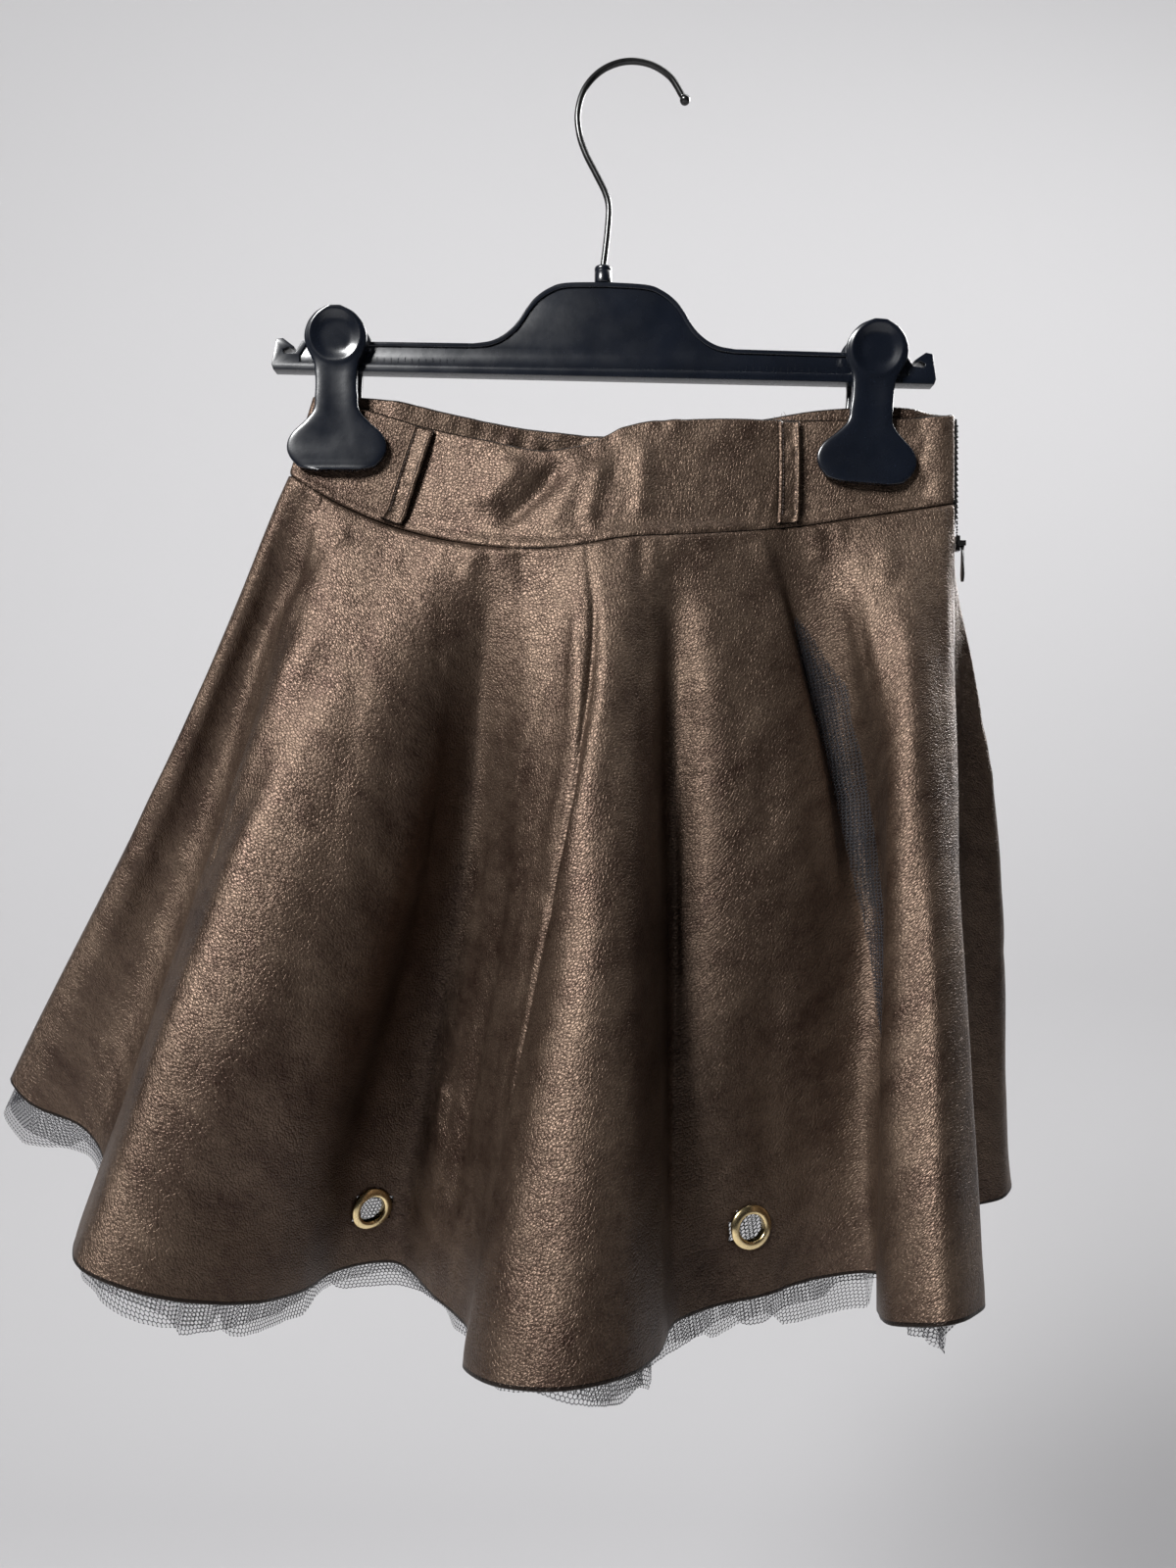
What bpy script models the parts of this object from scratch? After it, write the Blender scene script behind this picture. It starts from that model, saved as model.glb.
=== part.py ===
"""A flared leather mini skirt with a net petticoat, clipped to a plastic bar hanger with a steel hook.

X runs from the wearer's right hip (-) to the left hip (+), the front faces -Y and +Z is up. The origin is
the inside top of the hook, where the hanger hangs. Sizes are in millimetres until a mesh is made.

Every cloth wall is one function of two numbers: how far round the waist or the hem a point lies, and how
far down. Share runs 0 to 1 along the front from the left end of the flat waist, and 1 to 2 back along the
back. The leather hangs from the waist seam along ribs, straight or bowed lines that are all as long as the
panel, so a rib that reaches further out ends higher, as a flared hem does.
"""

import math
from collections import namedtuple

import bmesh
import bpy
import numpy as np
from mathutils import Matrix, Vector

METRES = 0.001

# Cloth
PANEL_LENGTH = 342.0  # waist seam to hem, along the leather
LEATHER_WALL = 1.2
BAND_WALL = 2.0
NET_WALL = 1.0
SEAM_GAP = 0.3
EYELET_DENSITY = 1.6  # more columns round an eyelet
CLEAR_SEARCH = 45.0  # how far round the hem a side seam's clearance is looked for
SKIRT_DROP = 0.35  # the leather starts this far below the waist seam
BAND_LIFT = 0.3  # and the bands end this far above it
NET_INSET = 0.95  # from the leather's inner side, at the waist
NET_EASE = 1.1  # more inset below the waist
NET_HANG = 2.0  # and more down to the hem
NET_WAVE = 2.3  # half height of a ruffle at the hem
NET_WAVES = 36  # ruffles round the whole hem
NET_SLIT = 3.0  # half the slit beside the zip
NET_NARROW, NET_NARROW_REACH = 0.85, 45.0  # less hang and ruffle beside the left side seam

# Waist, flat between the clips' jaws and open between them
WAIST_LEFT, WAIST_RIGHT = -158.0, 148.5
BAND_TOP_LEFT = -147.0
BAND_HEIGHT = 45.0
BAND_END_GAP = 0.4  # half the gap at the left end, on the outer side of the turn
JAW_FLAT = 2.7  # half the thickness of the two bands in a jaw
SEAM_OPEN = 2.0  # how much more the waist seam opens below the jaws
ZIP_OPEN = 2.0  # how much more the zipped end opens
OPEN_FROM, OPEN_TO = -110.0, 81.0  # the stretch between the jaws
ZIP_OPEN_FROM, ZIP_OPEN_TO = 131.0, 142.0
FRONT_BULGE = (8.0, 17.0)  # at the band's top and at the seam
BACK_BULGE = (8.0, 12.0)

# The back band's gathers, by share
GATHERS = 18
GATHER_FROM, GATHER_TO = 1.22, 1.84
GATHER_PITCH = (GATHER_TO - GATHER_FROM) / GATHERS
GATHER_DEPTH = 0.8

# The bands' edges, as heights below the origin
Edge = namedtuple("Edge", "x seam top")
FRONT_EDGES = [
    Edge(-158, -189.5, -154.5),
    Edge(-134, -203.5, -159.5),
    Edge(-98, -217.5, -169.5),
    Edge(-67, -224.5, -176.5),
    Edge(-42, -226.5, -181.0),
    Edge(-22, -224.7, -178.0),
    Edge(-6, -222.0, -170.5),
    Edge(24, -219.8, -166.6),
    Edge(64, -215.6, -165.6),
    Edge(104, -209.5, -165.0),
    Edge(148.5, -203.0, -163.4),
]
BACK_EDGES = [
    Edge(-158, -189.5, -153.0),
    Edge(-120, -200.5, -155.0),
    Edge(-85, -207.0, -161.5),
    Edge(-45, -212.0, -167.0),
    Edge(0, -213.5, -169.5),
    Edge(50, -211.5, -164.5),
    Edge(95, -207.5, -159.0),
    Edge(125, -205.0, -158.5),
    Edge(148.5, -203.0, -162.4),
]

# The leather's ribs: where each starts on the waist, where it ends on the hem, how far its middle stands to the
# right of a straight line and sinks behind it, and how far the net hangs past the hem there
Rib = namedtuple("Rib", "name share hem_x hem_y bow sink net")
RIBS = [
    Rib("left side seam", 0.000, -319, 66, 5, 0, 20),
    Rib("left front", 0.016, -304, 54, 5, 0, 20),
    Rib("left front inner", 0.034, -280, 56, 3, 6, 20),
    Rib("left valley", 0.058, -250, 22, 0, 8, 18),
    Rib("front left fold, side", 0.080, -241, -35, 4, 0, 11),
    Rib("front left fold, crest", 0.108, -221, -70, 8, 0, 9),
    Rib("front left fold, face", 0.143, -196, -71, 8, 0, 10),
    Rib("front left fold, slope", 0.185, -174, -58, 6, 0, 12),
    Rib("hollow, left slope", 0.240, -149, -25, 4, 0, 15),
    Rib("hollow, left wall", 0.285, -135, 10, 6, 5, 16),
    Rib("hollow, bottom", 0.320, -115, 22, 8, 8, 16),
    Rib("hollow, right wall", 0.350, -91, -5, 8, 5, 14),
    Rib("hollow, strip", 0.380, -75, -29, 6, 0, 12),
    Rib("centre fold, tuck", 0.408, -68, -55, 9, 0, 10),
    Rib("centre fold, edge", 0.430, -69, -82, 13, 0, 8),
    Rib("centre fold, crest left", 0.450, -53, -107, 10, 0, 6),
    Rib("centre fold, crest", 0.475, -28, -113, 6, 0, 6),
    Rib("centre fold, crest right", 0.508, -8, -103, 3, 0, 8),
    Rib("centre fold, slope", 0.545, 8, -75, 0, 5, 11),
    Rib("crease", 0.585, 18, -39, 0, 11, 15),
    Rib("right flat, start", 0.620, 36, -26, 0, -1, 18),
    Rib("right flat, middle", 0.665, 60, -17, 0, -5, 18),
    Rib("right flat, end", 0.705, 84, -6, 6, -5, 18),
    Rib("right hollow", 0.750, 110, -7, 10, 5, 20),
    Rib("right fold, tuck", 0.790, 109, -31, 13, 8, 17),
    Rib("right fold, edge", 0.822, 99, -58, 15, 4, 10),
    Rib("right fold, crest left", 0.855, 99, -86, 11, 0, 9),
    Rib("right fold, crest", 0.905, 115, -98, 4, 0, 9),
    Rib("right fold, crest right", 0.958, 135, -80, 0, 0, 9),
    Rib("right fold, side", 0.986, 142, -40, 0, 0, 6),
    Rib("right side seam", 1.000, 150, 10, 0, 0, 2),
    Rib("side valley", 1.007, 167, 42, 4, 0, -3),
    Rib("back right fold, edge", 1.024, 190, 50, 12, 0, -4),
    Rib("back right fold, crest", 1.060, 198, 84, 14, 0, -2),
    Rib("back right fold, face", 1.105, 180, 106, 10, 0, 6),
    Rib("back right slope", 1.165, 150, 106, 3, 0, 10),
    Rib("back right hollow", 1.235, 122, 70, 0, 0, 14),
    Rib("back right rise", 1.305, 92, 78, 0, 0, 12),
    Rib("back centre right crest", 1.370, 66, 112, 0, 0, 8),
    Rib("back centre right fall", 1.430, 32, 108, 0, 0, 10),
    Rib("back centre hollow", 1.495, 6, 72, 0, 0, 15),
    Rib("back centre rise", 1.555, -26, 80, 0, 0, 12),
    Rib("back centre left crest", 1.615, -54, 116, 0, 0, 8),
    Rib("back centre left fall", 1.670, -88, 110, 0, 0, 9),
    Rib("back left hollow", 1.730, -116, 76, 0, 0, 14),
    Rib("back left rise", 1.785, -148, 84, 0, 0, 12),
    Rib("back left crest", 1.840, -180, 116, 0, 0, 10),
    Rib("back left fall", 1.890, -216, 106, 2, 0, 14),
    Rib("left back hollow", 1.930, -246, 84, 3, 0, 18),
    Rib("left back crest", 1.962, -284, 98, 5, 0, 18),
    Rib("left back edge", 1.985, -312, 86, 5, 0, 20),
]
NET_SKIPS = ("side valley", "back right fold, edge", "back right fold, crest")
BOW_PEAK = 0.0916  # the largest value of down^1.5 (1 - down)^2

# Belt loops, each from a share of the band at its top to one at its bottom
Loop = namedtuple("Loop", "name top bottom")
BELT_LOOPS = [
    Loop("belt_loop_front_left", 0.190, 0.168),
    Loop("belt_loop_front_right", 0.745, 0.742),
    Loop("belt_loop_back_right", 1.300, 1.296),
    Loop("belt_loop_back_left", 1.702, 1.706),
]
LOOP_WIDTH, LOOP_WALL = 10.0, 1.6
LOOP_ARCH = 1.6  # how far a loop's middle stands off the band

# Eyelets, set in the front panel by the place round the hem and down the panel
Eyelet = namedtuple("Eyelet", "name x down")
EYELETS = [Eyelet("eyelet_left", -123.0, 0.918), Eyelet("eyelet_right", 52.0, 0.908)]
Turned = namedtuple("Turned", "radius lift")
# An eyelet's section, lifts measured from the leather's outer side: the rim, the flange under it, the barrel
# and the back flange
EYELET_PROFILE = [
    Turned(6.0, 0.9), Turned(6.8, 2.0), Turned(8.4, 2.0), Turned(10.0, 0.9), Turned(10.0, 0.45),
    Turned(7.0, 0.45), Turned(7.0, -1.7), Turned(9.0, -1.7), Turned(9.0, -2.3), Turned(6.0, -2.3),
]
EYELET_SIDES = 20
EYELET_CUT = 7.4  # radius of the hole in the leather

# Zip in the right side seam
ZIP_HALF_GAP = 1.5  # on the leather's inner side
ZIP_BAND_GAP = 2.4  # on the bands' outer side, where they turn
ZIP_TAPE = 1.6
ZIP_PROUD = 1.0
ZIP_DEEP = 3.4
ZIP_END = 0.30
SLIDER_DOWN = 0.052
SLIDER_OFF = 0.8  # from the seam's outer side
SLIDER_SIZE = (1.5, 3.4, 7.0)
EAR_SIZE, EAR_SIDE, EAR_BACK = (3.4, 0.7, 2.4), 1.9, 0.7
PIVOT_OUT = 3.8  # of the pull's pin, from the seam's outer side
PIN_RADIUS, PIN_LENGTH, PIN_CLEARANCE = 0.6, 4.0, 0.3
Slice = namedtuple("Slice", "height half thick")
PULL_ROWS = [
    Slice(1.25, 0.7, 0.5), Slice(0.9, 1.15, 0.95), Slice(0.0, 1.3, 1.1), Slice(-3.0, 1.25, 0.6),
    Slice(-7.0, 1.7, 0.6), Slice(-11.0, 2.4, 0.6), Slice(-14.0, 2.7, 0.6), Slice(-16.0, 2.3, 0.6),
    Slice(-17.2, 1.4, 0.6), Slice(-17.5, 0.6, 0.6),
]
PULL_SIDES = 12

# Hanger
WIRE_RADIUS = 1.5
HOOK_RADIUS = 25.0
HOOK_FROM, HOOK_TO = math.radians(20), math.radians(176)  # the round part, from the tip over the top
HOOK_STEM = [(-24.3, -32.0), (-21.4, -41.0), (-16.6, -50.5), (-12.4, -59.0), (-10.7, -66.0), (-11.2, -76.0),
             (-12.3, -86.0), (-13.1, -92.5), (-13.3, -98.6)]
HOOK_POINTS = 38
HOOK_BALL = 2.4
SOCKET_RADIUS, SOCKET_HEIGHT, SOCKET_ROUND = 4.0, 8.2, 0.6
SOCKET_OFF, SOCKET_FLOOR = 0.3, 2.6  # heights of its foot and of the bore's floor above the hump
HUMP_TOP = Vector((-13.3, 0.0, -101.7))
BAR_TILT = math.radians(1.3)
BAR_SHIFT = 1.2  # of the bar's middle from the socket
BAR_BOTTOM = -43.4
BAR_WALL, BAR_EDGE = 7.6, 0.4
# The bar's right half as x and z from the hump's top: the hump, then the notched prong at the end
HUMP = [(0, 0), (18.6, -0.8), (26.0, -3.3), (32.0, -7.6), (36.0, -12.6), (39.0, -17.4), (42.2, -21.6),
        (47.0, -25.6), (52.6, -28.2), (60, -29.4)]
PRONG = [(138.4, -30.0), (141.6, -35.4), (146.6, -36.0), (147.2, -34.2), (144.6, -33.0), (142.4, -34.0),
         (142.2, -32.6), (147.2, -29.0), (150.4, -29.6), (152.2, -41.2), (151.4, BAR_BOTTOM)]

# Clips: half width and the leaf's distance from the middle, by height above the jaw
Row = namedtuple("Row", "height half inner")
LEAF_ROWS = [
    Row(0.0, 10.5, 3.6), Row(0.8, 15.0, 3.2), Row(3.4, 19.2, 3.0), Row(6.8, 21.8, 3.0),
    Row(12.0, 22.7, 3.0), Row(17.2, 20.2, 3.2), Row(22.0, 14.9, 3.5), Row(26.5, 10.9, 3.8),
    Row(34.0, 9.7, 4.1), Row(42.0, 9.5, 4.2), Row(49.0, 10.4, 4.3), Row(54.3, 12.9, 4.8),
    Row(59.4, 14.2, 5.5), Row(64.3, 13.3, 6.2), Row(68.3, 10.9, 6.8), Row(71.2, 7.6, 7.3),
    Row(73.0, 3.4, 7.8),
]
LEAF_WALL, LEAF_SIDES = 4.0, 12
LEAF_SQUARE = 0.55  # a section's corners: 1 is an ellipse and 0 a rectangle
THUMB_HEIGHT, THUMB_RADIUS, THUMB_DEPTH = 60.5, 11.0, 1.3
Clip = namedtuple("Clip", "name x z lean")
CLIPS = [Clip("clip_left", -134.9, -188.5, 0.0), Clip("clip_right", 106.0, -194.5, math.radians(4.8))]
FULCRUM = (16.0, 7.6, 5.0)  # the block the two leaves rock on
FULCRUM_UNDER = 0.5  # below the bar

# Colours: base colour, roughness, metallic
LEATHER = ("bronze leather", (0.085, 0.055, 0.038), 0.42, 0.35)
NET = ("black net", (0.02, 0.02, 0.022), 0.8, 0.0)
PLASTIC = ("black plastic", (0.010, 0.013, 0.018), 0.25, 0.0)
STEEL = ("black steel", (0.012, 0.012, 0.013), 0.3, 0.6)
BRASS = ("brass", (0.62, 0.44, 0.18), 0.28, 1.0)
TAPE = ("black tape", (0.008, 0.008, 0.009), 0.6, 0.0)


# ---------------------------------------------------------------- scene and mesh helpers


def clear_scene():
    for old in list(bpy.data.objects):
        bpy.data.objects.remove(old, do_unlink=True)


def collection(name):
    made = bpy.data.collections.new(name)
    bpy.context.scene.collection.children.link(made)
    return made


def material(look):
    name, colour, roughness, metallic = look
    made = bpy.data.materials.get(name)
    if made is None:
        made = bpy.data.materials.new(name)
        made.use_nodes = True
        shader = made.node_tree.nodes["Principled BSDF"]
        shader.inputs["Base Color"].default_value = (*colour, 1.0)
        shader.inputs["Roughness"].default_value = roughness
        shader.inputs["Metallic"].default_value = metallic
        made.diffuse_color = (*colour, 1.0)
    return made


def add_object(name, data, look, where):
    made = bpy.data.objects.new(name, data)
    made.data.materials.append(material(look))
    where.objects.link(made)
    return made


def grid_faces(columns, rows, closed):
    across = columns if closed else columns - 1
    i, j = np.meshgrid(np.arange(across), np.arange(rows - 1), indexing="ij")
    following = (i + 1) % columns
    faces = [i * rows + j, i * rows + j + 1, following * rows + j + 1, following * rows + j]
    return np.stack(faces, axis=-1).reshape(-1, 4)


def mesh_of(name, points, faces):
    """A mesh from points in millimetres, its faces turned outward."""
    mesh = bpy.data.meshes.new(name)
    mesh.from_pydata((points.reshape(-1, 3) * METRES).tolist(), [], [list(face) for face in faces])
    turn_outward(mesh)
    mesh.shade_smooth()
    return mesh


def turn_outward(mesh, weld=None, fill=False):
    shape = bmesh.new()
    shape.from_mesh(mesh)
    if weld:
        bmesh.ops.remove_doubles(shape, verts=shape.verts, dist=weld)
    if fill:
        bmesh.ops.holes_fill(shape, edges=[e for e in shape.edges if e.is_boundary], sides=0)
    bmesh.ops.recalc_face_normals(shape, faces=shape.faces)
    shape.to_mesh(mesh)
    shape.free()


def cloth_wall(name, outer, inner, look, where):
    """A cloth piece: its outer and inner grids of points, closed round their four edges."""
    columns, rows = outer.shape[:2]
    count = columns * rows
    quads = grid_faces(columns, rows, False)
    skins = np.concatenate([quads[:, [0, 1, 2]], quads[:, [0, 2, 3]]])
    index = np.arange(count).reshape(columns, rows)
    rim = np.concatenate([index[:, 0], index[-1, 1:], index[-2::-1, -1], index[0, -2:0:-1]])
    after = np.roll(rim, -1)
    edges = np.stack([rim, after, after + count, rim + count], axis=-1)
    faces = [*skins.tolist(), *(skins[:, ::-1] + count).tolist(), *edges.tolist()]
    mesh = mesh_of(name, np.concatenate([outer.reshape(-1, 3), inner.reshape(-1, 3)]), faces)
    mesh.set_sharp_from_angle(angle=math.radians(60))
    return add_object(name, mesh, look, where)


def capped_loft(name, rings, look, where):
    """A closed solid through rings of points, with flat ends."""
    count, sides = rings.shape[:2]
    mesh = mesh_of(name, rings.transpose(1, 0, 2), grid_faces(sides, count, True))
    turn_outward(mesh, fill=True)
    mesh.set_sharp_from_angle(angle=math.radians(50))
    return add_object(name, mesh, look, where)


def cut(target, cutter):
    cutter.hide_render = True
    cutter.display_type = "WIRE"
    made = target.modifiers.new(f"cut by {cutter.name}", "BOOLEAN")
    made.operation = "DIFFERENCE"
    made.object = cutter


def join(target, other):
    other.hide_render = True
    other.display_type = "WIRE"
    made = target.modifiers.new(f"joined with {other.name}", "BOOLEAN")
    made.operation = "UNION"
    made.object = other


def shaped(name, maker, look, where, **sizes):
    """An object from one of bmesh's own shapes, in metres."""
    shape = bmesh.new()
    maker(shape, **sizes)
    mesh = bpy.data.meshes.new(name)
    shape.to_mesh(mesh)
    shape.free()
    return add_object(name, mesh, look, where)


def box(name, size, look, where):
    made = shaped(name, bmesh.ops.create_cube, look, where, size=1.0)
    for vertex in made.data.vertices:
        vertex.co = Vector([c * s * METRES for c, s in zip(vertex.co, size)])
    return made


def cylinder(name, radius, depth, sides, look, where):
    return shaped(
        name, bmesh.ops.create_cone, look, where, cap_ends=True, segments=sides,
        radius1=radius * METRES, radius2=radius * METRES, depth=depth * METRES,
    )


# ---------------------------------------------------------------- curves through tables


def through(knots, values, at):
    """Smooth curve through table rows: a cubic in each span, with slopes from the rows on both sides."""
    knots, values, at = (np.asarray(v, float) for v in (knots, values, at))
    slopes = np.gradient(values, knots, axis=0)
    span = np.clip(np.searchsorted(knots, at, side="right") - 1, 0, len(knots) - 2)
    width = knots[span + 1] - knots[span]
    s = (at - knots[span]) / width
    if values.ndim > 1:
        width, s = width[..., None], s[..., None]
    return (
        (2 * s**3 - 3 * s**2 + 1) * values[span]
        + (s**3 - 2 * s**2 + s) * width * slopes[span]
        + (3 * s**2 - 2 * s**3) * values[span + 1]
        + (s**3 - s**2) * width * slopes[span + 1]
    )


def smooth_step(x, start, end):
    s = np.clip((x - start) / (end - start), 0.0, 1.0)
    return s * s * (3 - 2 * s)


# ---------------------------------------------------------------- waist and bands


def half_depth(x, along, bulge, level):
    """How far a wall stands from the middle plane. Along is -1 to 1 over the flat waist, and level is 0 at
    the band's top and 1 at the seam."""
    opening = np.sin(np.pi * np.clip((x - OPEN_FROM) / (OPEN_TO - OPEN_FROM), 0, 1)) ** 1.2
    seam = SEAM_OPEN * smooth_step(level, 0.85, 1.0)
    depth = JAW_FLAT + np.maximum(seam, ZIP_OPEN * smooth_step(x, ZIP_OPEN_FROM, ZIP_OPEN_TO))
    round_end = (WAIST_RIGHT - WAIST_LEFT) / depth
    depth = depth + (bulge[0] + (bulge[1] - bulge[0]) * level) * opening
    return depth * np.sqrt(np.clip(1 - np.abs(along) ** round_end, 0, 1))


def waist_ring(level):
    """The bands' outer line at a level, as many points with each one's share."""
    turn = np.linspace(0, 2 * np.pi, 1441)
    along = -np.cos(turn)
    seam_x = (WAIST_LEFT + WAIST_RIGHT) / 2 + along * (WAIST_RIGHT - WAIST_LEFT) / 2
    left = BAND_TOP_LEFT + (WAIST_LEFT - BAND_TOP_LEFT) * level
    x = seam_x + (left - WAIST_LEFT) * ((1 - along) / 2) ** 3
    front = turn <= np.pi
    depth = np.where(
        front, -half_depth(seam_x, along, FRONT_BULGE, level), half_depth(seam_x, along, BACK_BULGE, level)
    )
    heights = []
    for edges in (FRONT_EDGES, BACK_EDGES):
        places = [e.x for e in edges]
        seam = through(places, [e.seam for e in edges], seam_x)
        top = through(places, [e.top for e in edges], seam_x)
        heights.append(top + (seam - top) * level)
    end = smooth_step(np.abs(along), 0.97, 1.0)
    middle = (heights[0] + heights[1]) / 2
    z = np.where(front, heights[0], heights[1]) * (1 - end) + middle * end
    points = np.stack([x, depth, z], axis=-1)
    length = np.concatenate([[0], np.cumsum(np.linalg.norm(np.diff(points, axis=0), axis=1))])
    half = length[len(turn) // 2]
    share = np.where(front, length / half, 1 + (length - half) / (length[-1] - half))
    return share, points


def band_points(share, level):
    """Points on the bands' outer side, for one level and many shares."""
    known, points = waist_ring(level)
    return np.stack([np.interp(share % 2.0, known, points[:, k]) for k in range(3)], axis=-1)


def band_normals(shares, level):
    step = 0.004
    along = band_points(shares + step, level) - band_points(shares - step, level)
    low, high = max(level - step, 0), min(level + step, 1)
    down = band_points(shares, high) - band_points(shares, low)
    normal = np.cross(down, along)
    return normal / np.linalg.norm(normal, axis=-1, keepdims=True)


def band_off(shares, level, out):
    """Points a distance out from the bands' outer side."""
    return band_points(shares, level) + band_normals(shares, level) * np.asarray(out)[..., None]


# ---------------------------------------------------------------- leather panels


def loft_through(ribs):
    """The ribs closed into a loop, with each one's place along the hem as its knot."""
    count, wrap = len(ribs), 3
    order = [*range(-wrap, 0), *range(count + wrap + 1)]
    rows = [ribs[i % count] for i in order]
    turns = [math.floor(i / count) for i in order]
    shares = np.array([r.share + 2.0 * turn for r, turn in zip(rows, turns)])
    hem = np.array([(r.hem_x, r.hem_y) for r in rows], float)
    chords = np.linalg.norm(np.diff(hem, axis=0), axis=1)
    knots = np.concatenate([[0], np.cumsum(chords)])
    knots -= knots[wrap]
    right = wrap + [r.name for r in ribs].index("right side seam")
    values = np.column_stack([shares, hem, [(r.bow, r.sink, r.net) for r in rows]])
    return Loft(knots, values, knots[wrap + count], knots[right])


Loft = namedtuple("Loft", "knots values length right_seam")
LEATHER_LOFT = loft_through(RIBS)
NET_LOFT = loft_through([r for r in RIBS if r.name not in NET_SKIPS])
SEAM_SHARE, SEAM_RING = waist_ring(1.0)


def panel_points(place, down, loft=LEATHER_LOFT):
    """Points on a loft's outer side: place is millimetres along the hem from the left side seam, and down is
    0 at the waist seam and 1 at the leather's hem. Both are arrays of one shape."""
    place, down = np.broadcast_arrays(np.asarray(place, float), np.asarray(down, float))
    values = through(loft.knots, loft.values, place)
    share, hem_xy, bent = values[..., 0] % 2.0, values[..., 1:3], values[..., 3:5]
    waist = np.stack([np.interp(share, SEAM_SHARE, SEAM_RING[:, k]) for k in range(3)], axis=-1)
    reach = np.sum((hem_xy - waist[..., :2]) ** 2, axis=-1)
    drop = np.sqrt(PANEL_LENGTH**2 - reach)
    hem = np.concatenate([hem_xy, (waist[..., 2] - drop)[..., None]], axis=-1)
    points = waist + (hem - waist) * down[..., None]
    middle = np.clip(down, 0, 1) ** 1.5 * np.clip(1 - down, 0, 1) ** 2 / BOW_PEAK
    points[..., :2] += bent * middle[..., None]
    return points


def panel_normals(place, down, loft=LEATHER_LOFT):
    around = panel_points(place + 0.5, down, loft) - panel_points(place - 0.5, down, loft)
    below = panel_points(place, down + 0.003, loft) - panel_points(place, down - 0.003, loft)
    normal = np.cross(below, around)
    return normal / np.linalg.norm(normal, axis=-1, keepdims=True)


def panel_off(place, down, out, loft=LEATHER_LOFT):
    """Points a distance out from a loft's outer side."""
    return panel_points(place, down, loft) + panel_normals(place, down, loft) * np.asarray(out)[..., None]


def seam_clearance(down, at_zip):
    """Half the gap between two panels at a side seam. The zip's tape fills it above and beside the slider."""
    if not at_zip:
        return np.full_like(down, SEAM_GAP / 2)
    closed = smooth_step(down, SLIDER_DOWN + 0.01, SLIDER_DOWN + 0.04)
    return ZIP_HALF_GAP * (1 - closed) + SEAM_GAP / 2 * closed


def cleared_by(seam, way, down, out, clearance, loft):
    """How far round the hem from a side seam each row has to start, to lie its clearance off the seam."""
    steps = np.linspace(0, CLEAR_SEARCH, 301)
    place, fall = np.meshgrid(seam + way * steps, down, indexing="ij")
    line = panel_off(place, fall, out(place, fall), loft)
    away = np.linalg.norm(line - line[0], axis=-1)
    return np.array([np.interp(c, away[:, row], steps) for row, c in enumerate(clearance)])


def panel_places(start, end, columns):
    """Places round the hem from one side seam to the other, closer together round the eyelets."""
    fine = np.linspace(start, end, 2001)
    dense = np.ones_like(fine)
    for spec in EYELETS:
        dense += EYELET_DENSITY * np.exp(-(((fine - place_at(spec.x, spec.down)) / 13.0) ** 2))
    total = np.concatenate([[0], np.cumsum(dense[:-1])])
    return np.interp(np.linspace(0, total[-1], columns), total, fine)


def panel_grid(places, rows, out, gaps, loft, fall=None):
    """The places and rows of a panel's grid, with its side edges cleared row by row. Fall stretches each
    place's rows past the hem."""
    first, last = places[0], places[-1]
    left = first + cleared_by(first, 1, rows, out, gaps[0], loft)
    right = last - cleared_by(last, -1, rows, out, gaps[1], loft)
    share = (places - first) / (last - first)
    place = left + share[:, None] * (right - left)
    down = np.broadcast_to(rows, place.shape)
    if fall is not None:
        down = down * fall(place)
    return place, down


def panel_wall(name, places, rows, out, wall, gaps, look, where, loft=LEATHER_LOFT, fall=None):
    place, down = panel_grid(places, rows, lambda p, d: out(p, d) - wall, gaps, loft, fall)
    outer = panel_off(place, down, out(place, down), loft)
    inner = panel_off(place, down, out(place, down) - wall, loft)
    return cloth_wall(name, outer, inner, look, where)


def skirt_panels(where):
    rows = np.array([SKIRT_DROP / PANEL_LENGTH, 0.03, 0.09, 0.15, 0.26, 0.46, 0.80, 1.0])
    plain, zipped = seam_clearance(rows, False), seam_clearance(rows, True)
    right, end = LEATHER_LOFT.right_seam, LEATHER_LOFT.length
    made = []
    for name, start, stop, columns, gaps in (
        ("skirt_front", 0, right, 80, (plain, zipped)),
        ("skirt_back", right, end, 62, (zipped, plain)),
    ):
        places = panel_places(start, stop, columns)
        made.append(panel_wall(name, places, rows, leather_out, LEATHER_WALL, gaps, LEATHER, where))
    return made


def leather_out(place, down):
    return np.zeros_like(down)


def net_out(place, down):
    """The net's distance in from the leather's outer side, with ruffles that grow down the skirt and shrink in
    the sharp fold at the left side seam."""
    fall = np.clip(down, 0, 1)
    wave = NET_WAVE * (1 + np.cos(2 * np.pi * NET_WAVES * place / NET_LOFT.length)) * fall**1.5
    off_seam = np.minimum(place % NET_LOFT.length, -place % NET_LOFT.length)
    room = 1 - NET_NARROW * np.exp(-((off_seam / NET_NARROW_REACH) ** 2))
    inset = NET_INSET + NET_EASE * smooth_step(fall, 0.0, 0.15)
    return -(LEATHER_WALL + inset + (NET_HANG * fall + wave) * room)


def net_fall(places):
    """How far down the net reaches at each place, as a share of the leather's length."""
    return 1 + through(NET_LOFT.knots, NET_LOFT.values, places)[..., 5] / PANEL_LENGTH


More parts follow.
